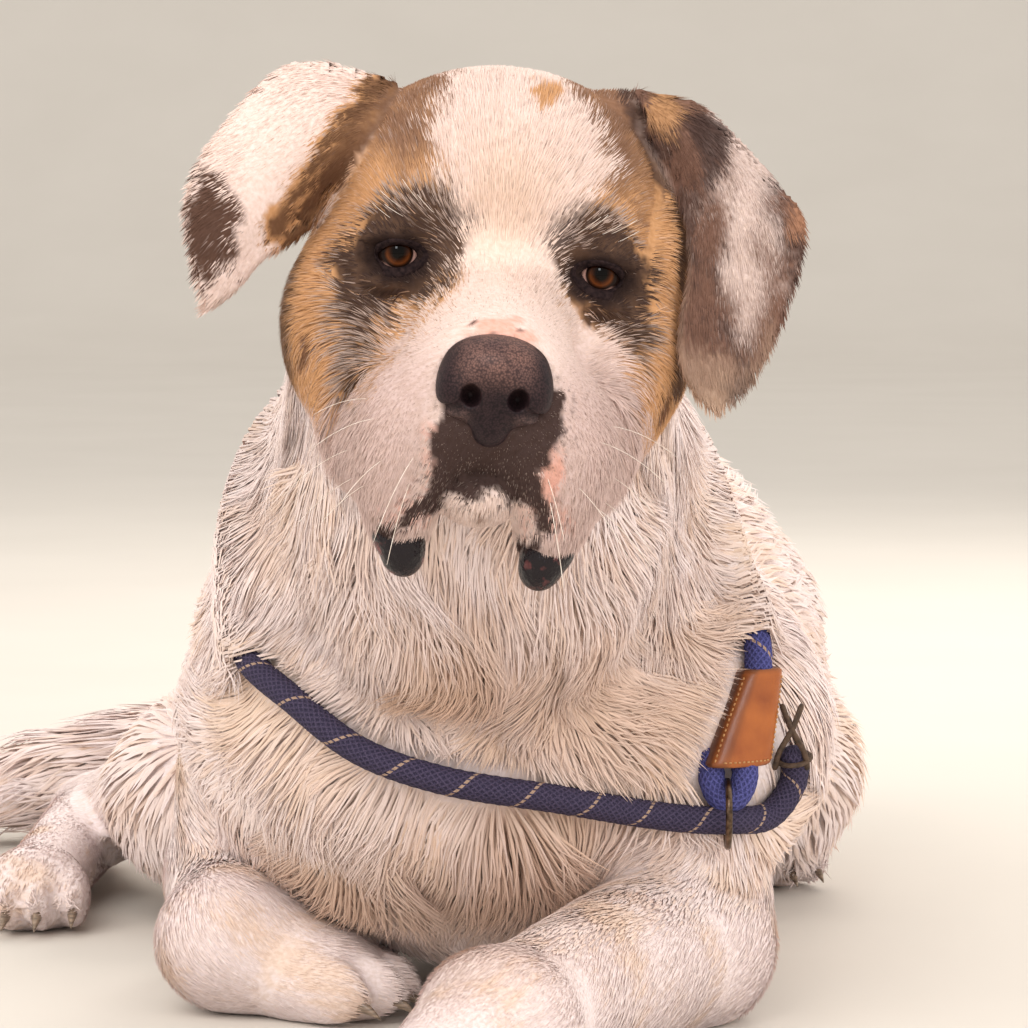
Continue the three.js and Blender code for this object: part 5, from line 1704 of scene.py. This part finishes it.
def rope_material(name, dull, vivid, tracer):
    material, tree, shader = new_material(name, 0.8, Specular_IOR_Level=0.2)
    get = lambda key: add(tree, "ShaderNodeAttribute", attribute_name=key).outputs["Fac"]

    def maths(kind, a, b):
        node = add(tree, "ShaderNodeMath", operation=kind)
        for value, socket in zip((a, b), node.inputs):
            if isinstance(value, bpy.types.NodeSocket):
                link(tree, value, socket)
            else:
                socket.default_value = value
        return node.outputs[0]

    base = mix(tree, get("Bright"), dull, vivid)
    speck = ramp(tree, noise(tree, 1500, 2), (0.35, (0.55, 0.55, 0.6)), (0.65, (1.25, 1.2, 1.15)))
    base = mix(tree, 1.0, base, speck, "MULTIPLY")
    turn = maths("MULTIPLY", get("Round"), 2 * math.pi * WEAVE_STRANDS)
    run = maths("MULTIPLY", get("Run"), 2 * math.pi / WEAVE_PITCH)
    waves_over, waves_under = (maths("SINE", maths(kind, turn, run), 0) for kind in ("ADD", "SUBTRACT"))
    weave = maths("MAXIMUM", waves_over, waves_under)
    # Painted shade in the grooves between the strands of the weave
    weave_groove_shade = ramp(tree, weave, (0.0, (0.6, 0.6, 0.64)), (0.7, (1.1, 1.08, 1.06)))
    base = mix(tree, 1.0, base, weave_groove_shade, "MULTIPLY")
    if tracer:
        slant = maths("ADD", maths("MULTIPLY", get("Run"), 1 / 37), get("Round"))
        place_on = maths("FRACT", slant, 0)
        line_mask = maths("LESS_THAN", place_on, 0.055)
        dash = maths("LESS_THAN", maths("FRACT", maths("MULTIPLY", get("Round"), 16), 0), 0.7)
        base = mix(tree, maths("MULTIPLY", line_mask, dash), base, (0.36, 0.25, 0.19))
    link(tree, base, shader.inputs["Base Color"])
    bump(tree, shader, weave, 0.6, 0.0006)
    return material


rope_look = rope_material("rope_weave", (0.054, 0.046, 0.090), (0.072, 0.080, 0.26), True)
bright_look = rope_material("bright_rope", (0.076, 0.084, 0.27), (0.076, 0.084, 0.27), False)
run_share = np.linspace(0, 1, len(rope_line))
bright_part = 1 - smooth(run_share, 0.03, 0.08)
into_body = -slope(body_outline, rope_line, 3)
rope = rope_tube("rope", rope_line, ROPE_RADIUS - 0.2, rope_look, into_body, bright_part)
place(rope, "rope_weave", "slip_loop_rope")

EYE_TURN = [(-8.6, 9, 38), (-9.4, 5, 27), (-8.4, 2, 17), (-3.4, 1, 9), (3.6, 1, 9), (9, 2, 17), (10.2, 5, 27),
            (9.6, 9, 38)]
SPLICE_RADIUS = 7.9
SPLICE_STEPS = 90
eye_line = curve_points(RING_CENTRE + np.array(EYE_TURN), SPLICE_STEPS)
toward_body = np.tile([0.0, 1.0, 0.1], (SPLICE_STEPS, 1))
splice = rope_tube("rope_eye", eye_line, SPLICE_RADIUS, bright_look, toward_body)
place(splice, "bright_rope_weave", "slip_loop_splice")

# Leather sleeve and its stitches
leather, tree, shader = new_material("sleeve_leather", 0.38, Specular_IOR_Level=0.45)
grain = noise(tree, 260, 5)
tone = ramp(tree, noise(tree, 35, 4), (0.3, (0.24, 0.055, 0.008)), (0.72, (0.46, 0.135, 0.022)))
# Darker at the leather's cut edges and ends, and painted shade on the side that turns away
edge = add(tree, "ShaderNodeAttribute", attribute_name="EdgeAndShade").outputs["Fac"]
tone = mix(tree, edge, tone, (0.10, 0.03, 0.01))
link(tree, tone, shader.inputs["Base Color"])
bump(tree, shader, grain, 0.35, 0.0006)
across = unit(np.array([[1, 0.55, 0.0]]))[0]
outward = np.array([-across[1], across[0], 0])
SLEEVE_WIDTHS = ((0, 21), (0.5, 17.5), (1, 13))
SLEEVE_SIDES = 64
SLEEVE_THICK = 10.6


def sleeve_half(share):
    return np.interp(share, *zip(*SLEEVE_WIDTHS))


shares = np.concatenate([[0.0, 0.005, 0.02], np.linspace(0.05, 0.95, 26), [0.98, 0.995, 1.0]])
angle = np.linspace(0, 2 * math.pi, SLEEVE_SIDES, endpoint=False)
cos, sin = np.cos(angle), np.sin(angle)
# Painted shade on the side of the sleeve that turns away from the light
turned_away_shade = 0.45 * smooth(-cos, 0.30, 0.55)
sleeve_points, dark_edges_and_shade = [], []
for share in shares:
    end = min(share, 1 - share)
    shrink = 1 - 0.10 * (1 - smooth(end, 0, 0.03))
    centre = SLEEVE_BOTTOM + (SLEEVE_TOP - SLEEVE_BOTTOM) * share
    wide = sleeve_half(share) * shrink * np.sign(cos) * np.abs(cos) ** 0.7
    thick = SLEEVE_THICK * shrink * np.sign(sin) * np.abs(sin) ** 0.9
    sleeve_points.append(centre + across * wide[:, None] + outward * thick[:, None])
    dark_edges_and_shade.append(np.maximum(0, np.abs(cos) - 0.93) * 12 + max(0, 0.03 - end) * 20 + turned_away_shade)
sleeve_faces = lofted(len(shares), SLEEVE_SIDES)
sleeve = mixed_mesh("leather_sleeve", np.vstack(sleeve_points), sleeve_faces, leather)
measure(sleeve, "EdgeAndShade", np.clip(np.concatenate(dark_edges_and_shade), 0, 1))
place(sleeve, "tan_leather", "slip_loop_sleeve")


BAR_SIDES = 8


def bars(name, ends, radius, material):
    """Short round bars from point to point, with rounded ends."""
    rings, faces = [], []
    for a, b in ends:
        along = (b - a) / np.linalg.norm(b - a)
        side = np.cross(along, [0.3, 0.5, 0.8])
        side /= np.linalg.norm(side)
        up = np.cross(along, side)
        faces += lofted(4, BAR_SIDES, len(rings) * BAR_SIDES)
        for at, size in ((a, 0.45), (a + along * radius * 0.5, 1), (b - along * radius * 0.5, 1), (b, 0.45)):
            rings.append(ring_about(at, side * radius * size, up * radius * size, BAR_SIDES))
    return mixed_mesh(name, np.vstack(rings), faces, material)


def on_sleeve(share, across_share):
    """A point on the sleeve's front face."""
    centre = SLEEVE_BOTTOM + (SLEEVE_TOP - SLEEVE_BOTTOM) * share
    half = sleeve_half(share)
    c = abs(across_share) ** (1 / 0.7)
    thick = SLEEVE_THICK * math.sqrt(max(1 - c * c, 0)) ** 0.9
    return centre + across * half * across_share - outward * (thick + 0.25)


thread = speckled("stitch_thread", 0.7, (900,), (0.3, (0.28, 0.12, 0.04)), (0.7, (0.55, 0.30, 0.12)))
SIDE_STITCHES = 17
END_STITCHES = 11
STITCH_RADIUS = 0.55
stitches = []
for side in (-0.93, 0.88):
    for i in range(SIDE_STITCHES):
        share = 0.06 + 0.052 * i
        stitches.append((on_sleeve(share, side), on_sleeve(share + 0.03, side)))
for i in range(END_STITCHES):
    a = -0.74 + 0.14 * i
    stitches.append((on_sleeve(0.055, a), on_sleeve(0.055, a + 0.085)))
place(bars("sleeve_stitches", stitches, STITCH_RADIUS, thread), "tan_leather")

# Ring
metal = speckled(
    "tarnished_metal", 0.32, (220, 4), (0.35, (0.05, 0.032, 0.022)), (0.7, (0.25, 0.17, 0.11)),
    (600, 0.3, 0.0003), Metallic=1.0,
)
RING_RADIUS = 18.8
RING_WIRE = 2.0
RING_STEPS = 96
WIRE_SIDES = 16
ring_points = [
    ring_about(RING_CENTRE + RING_RADIUS * out, RING_WIRE * out, np.array([RING_WIRE, 0, 0]), WIRE_SIDES)
    for out in ring_about(np.zeros(3), np.array([0, 1.0, 0]), np.array([0, 0, 1.0]), RING_STEPS)
]
ring_faces = lofted(RING_STEPS, WIRE_SIDES, ends="joined")
place(mixed_mesh("metal_ring", np.vstack(ring_points), ring_faces, metal), "dark_metal", "slip_loop_ring")


# Thong: a whipping round the rope's end and two crossed tails
thong_look = speckled("thong_leather", 0.7, (300,), (0.3, (0.03, 0.017, 0.010)), (0.7, (0.11, 0.065, 0.04)))
THONG_RADIUS = 1.9
rope_end = rope_line[-1]
along, sides, ups = frames_along(rope_line)
turns = np.linspace(0, 2 * np.pi * 1.1, 40)
whipping = rope_line[-6] + (ROPE_RADIUS + 0.8) * (
    np.cos(turns)[:, None] * sides[-6] + np.sin(turns)[:, None] * ups[-6]
)
crossing = rope_end + (-1, -8, 10)
thong_parts = [whipping]
for s in (-1, 1):
    reach = [(s * 9.5, 7, -24), (s * 7.5, 2, -14), (0, 0, 0), (-s * 3, 1, 7), (-s * 6, 2, 15)]
    thong_parts.append(curve_points(crossing + np.array(reach), 24))


def strip_tubes(name, lines, radius, material, sides_count=10):
    rings, faces = [], []
    for line in lines:
        _, across_line, up_line = frames_along(line)
        faces += lofted(len(line), sides_count, len(rings) * sides_count)
        for i, at in enumerate(line):
            size = radius * (1 if 0 < i < len(line) - 1 else 0.6)
            rings.append(ring_about(at, size * across_line[i], 0.7 * size * up_line[i], sides_count))
    return mixed_mesh(name, np.vstack(rings), faces, material)


place(strip_tubes("thong", thong_parts, THONG_RADIUS, thong_look), "dark_leather", "slip_loop_thong")

# Whiskers, and the long hairs over the eyes
whisker_look = speckled(
    "whisker_hair", 0.7, (200,), (0.3, (0.62, 0.52, 0.44)), (0.7, (0.86, 0.80, 0.74)), Specular_IOR_Level=0.1
)
WHISKER_RADIUS = 0.21
WHISKER_STEPS = np.linspace(0, 1, 10)[:, None]
draw = np.random.default_rng(31)
whisker_roots = [
    (s * (36 + 5 * i), -88 + 13 * i, -86 - 13 * row, 38)
    for s in (-1, 1) for row in range(3) for i in range(4) if (row + i) % 3
]
whisker_roots += [(s * (40 + 6 * i), -30 + 3 * i, 20 + (i % 2) * 4, 20) for s in (-1, 1) for i in range(5)]
whisker_lines = []
for x, y, z, reach in whisker_roots:
    root = settle(head_only, of_head([(x, y, z)]) + draw.normal(0, 2, (1, 3)), -1)
    out = unit(slope(head_only, root))[0]
    brow = z > 0
    heading = unit((out + np.array([0.3 * math.copysign(1, x), 0.4, 0.5 if brow else -0.35]))[None])[0]
    reach *= draw.uniform(0.7, 1.1)
    droop = np.array([0, 0.15, -0.35 if not brow else 0.1]) * reach
    whisker_lines.append(root + WHISKER_STEPS * heading * reach + WHISKER_STEPS**2 * droop)
place(strip_tubes("whiskers", whisker_lines, WHISKER_RADIUS, whisker_look, 5), "white_coat")

# Floor, light and camera
floor_material = speckled(
    "backdrop_paper", 0.9, (3,), (0.3, (0.64, 0.61, 0.57)), (0.7, (0.66, 0.63, 0.59)), Specular_IOR_Level=0.1
)
SWEEP_START = 8.0
SWEEP_RADIUS = 4.0
bend = np.linspace(0, math.pi / 2, 24)
profile = [(-12.0, 0.0), (SWEEP_START, 0.0)]
profile += [(SWEEP_START + SWEEP_RADIUS * math.sin(a), SWEEP_RADIUS * (1 - math.cos(a))) for a in bend[1:]]
profile.append((SWEEP_START + SWEEP_RADIUS, 9.0))
sweep_points = [(x, y, z) for y, z in profile for x in (-12, 12)]
sweep_faces = [(2 * i, 2 * i + 1, 2 * i + 3, 2 * i + 2) for i in range(len(profile) - 1)]
sweep_mesh = bpy.data.meshes.new("backdrop")
sweep_mesh.from_pydata(sweep_points, [], sweep_faces)
sweep_mesh.polygons.foreach_set("use_smooth", np.ones(len(sweep_faces), bool))
sweep_mesh.materials.append(floor_material)
backdrop = in_scene("backdrop", sweep_mesh)
backdrop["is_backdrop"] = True


def lamp(name, at, aim, size, power, colour, mirrored=False):
    light = bpy.data.lights.new(name, "AREA")
    light.size = size
    light.energy = power
    light.color = colour
    made = in_scene(name, light)
    made.location = at
    made.visible_glossy = mirrored
    made.visible_diffuse = not mirrored
    made.rotation_euler = (Vector(aim) - Vector(at)).to_track_quat("-Z", "Y").to_euler()


CENTRE = (0.1, -0.3, 0.25)
lamp("key", (-1.6, -2.6, 2.6), CENTRE, 3.0, 92, (1, 0.94, 0.87))
lamp("catch", (-0.25, -3.1, 2.35), CENTRE, 0.7, 36, (0.92, 0.95, 1), True)
lamp("fill", (2.6, -2.2, 1.0), CENTRE, 3.2, 60, (1, 0.95, 0.9))
lamp("rim", (1.0, 2.3, 2.2), CENTRE, 1.6, 48, (1, 0.93, 0.84))
WORLD_COLOUR = (1, 0.95, 0.89, 1)
WORLD_STRENGTH = 1.05
world = bpy.data.worlds.new("studio")
bpy.context.scene.world = world
world.use_nodes = True
for socket, value in zip(world.node_tree.nodes["Background"].inputs, (WORLD_COLOUR, WORLD_STRENGTH)):
    socket.default_value = value

CAMERA_AT = (0, -2400, 510)
CAMERA_PITCH = 4.59
FOCAL_PIXELS = 4536
FRAME_PIXELS = 1028
SENSOR_WIDTH = 36
camera_data = bpy.data.cameras.new("camera")
camera_data.sensor_width = SENSOR_WIDTH
camera_data.lens = SENSOR_WIDTH * FOCAL_PIXELS / FRAME_PIXELS
camera_data.clip_end = 60
camera = in_scene("camera", camera_data)
camera.location = to_frame(CAMERA_AT)
camera.rotation_euler = (math.radians(90 - CAMERA_PITCH), 0, 0)
bpy.context.scene.camera = camera
bpy.context.scene.view_settings.view_transform = "Standard"

low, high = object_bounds()
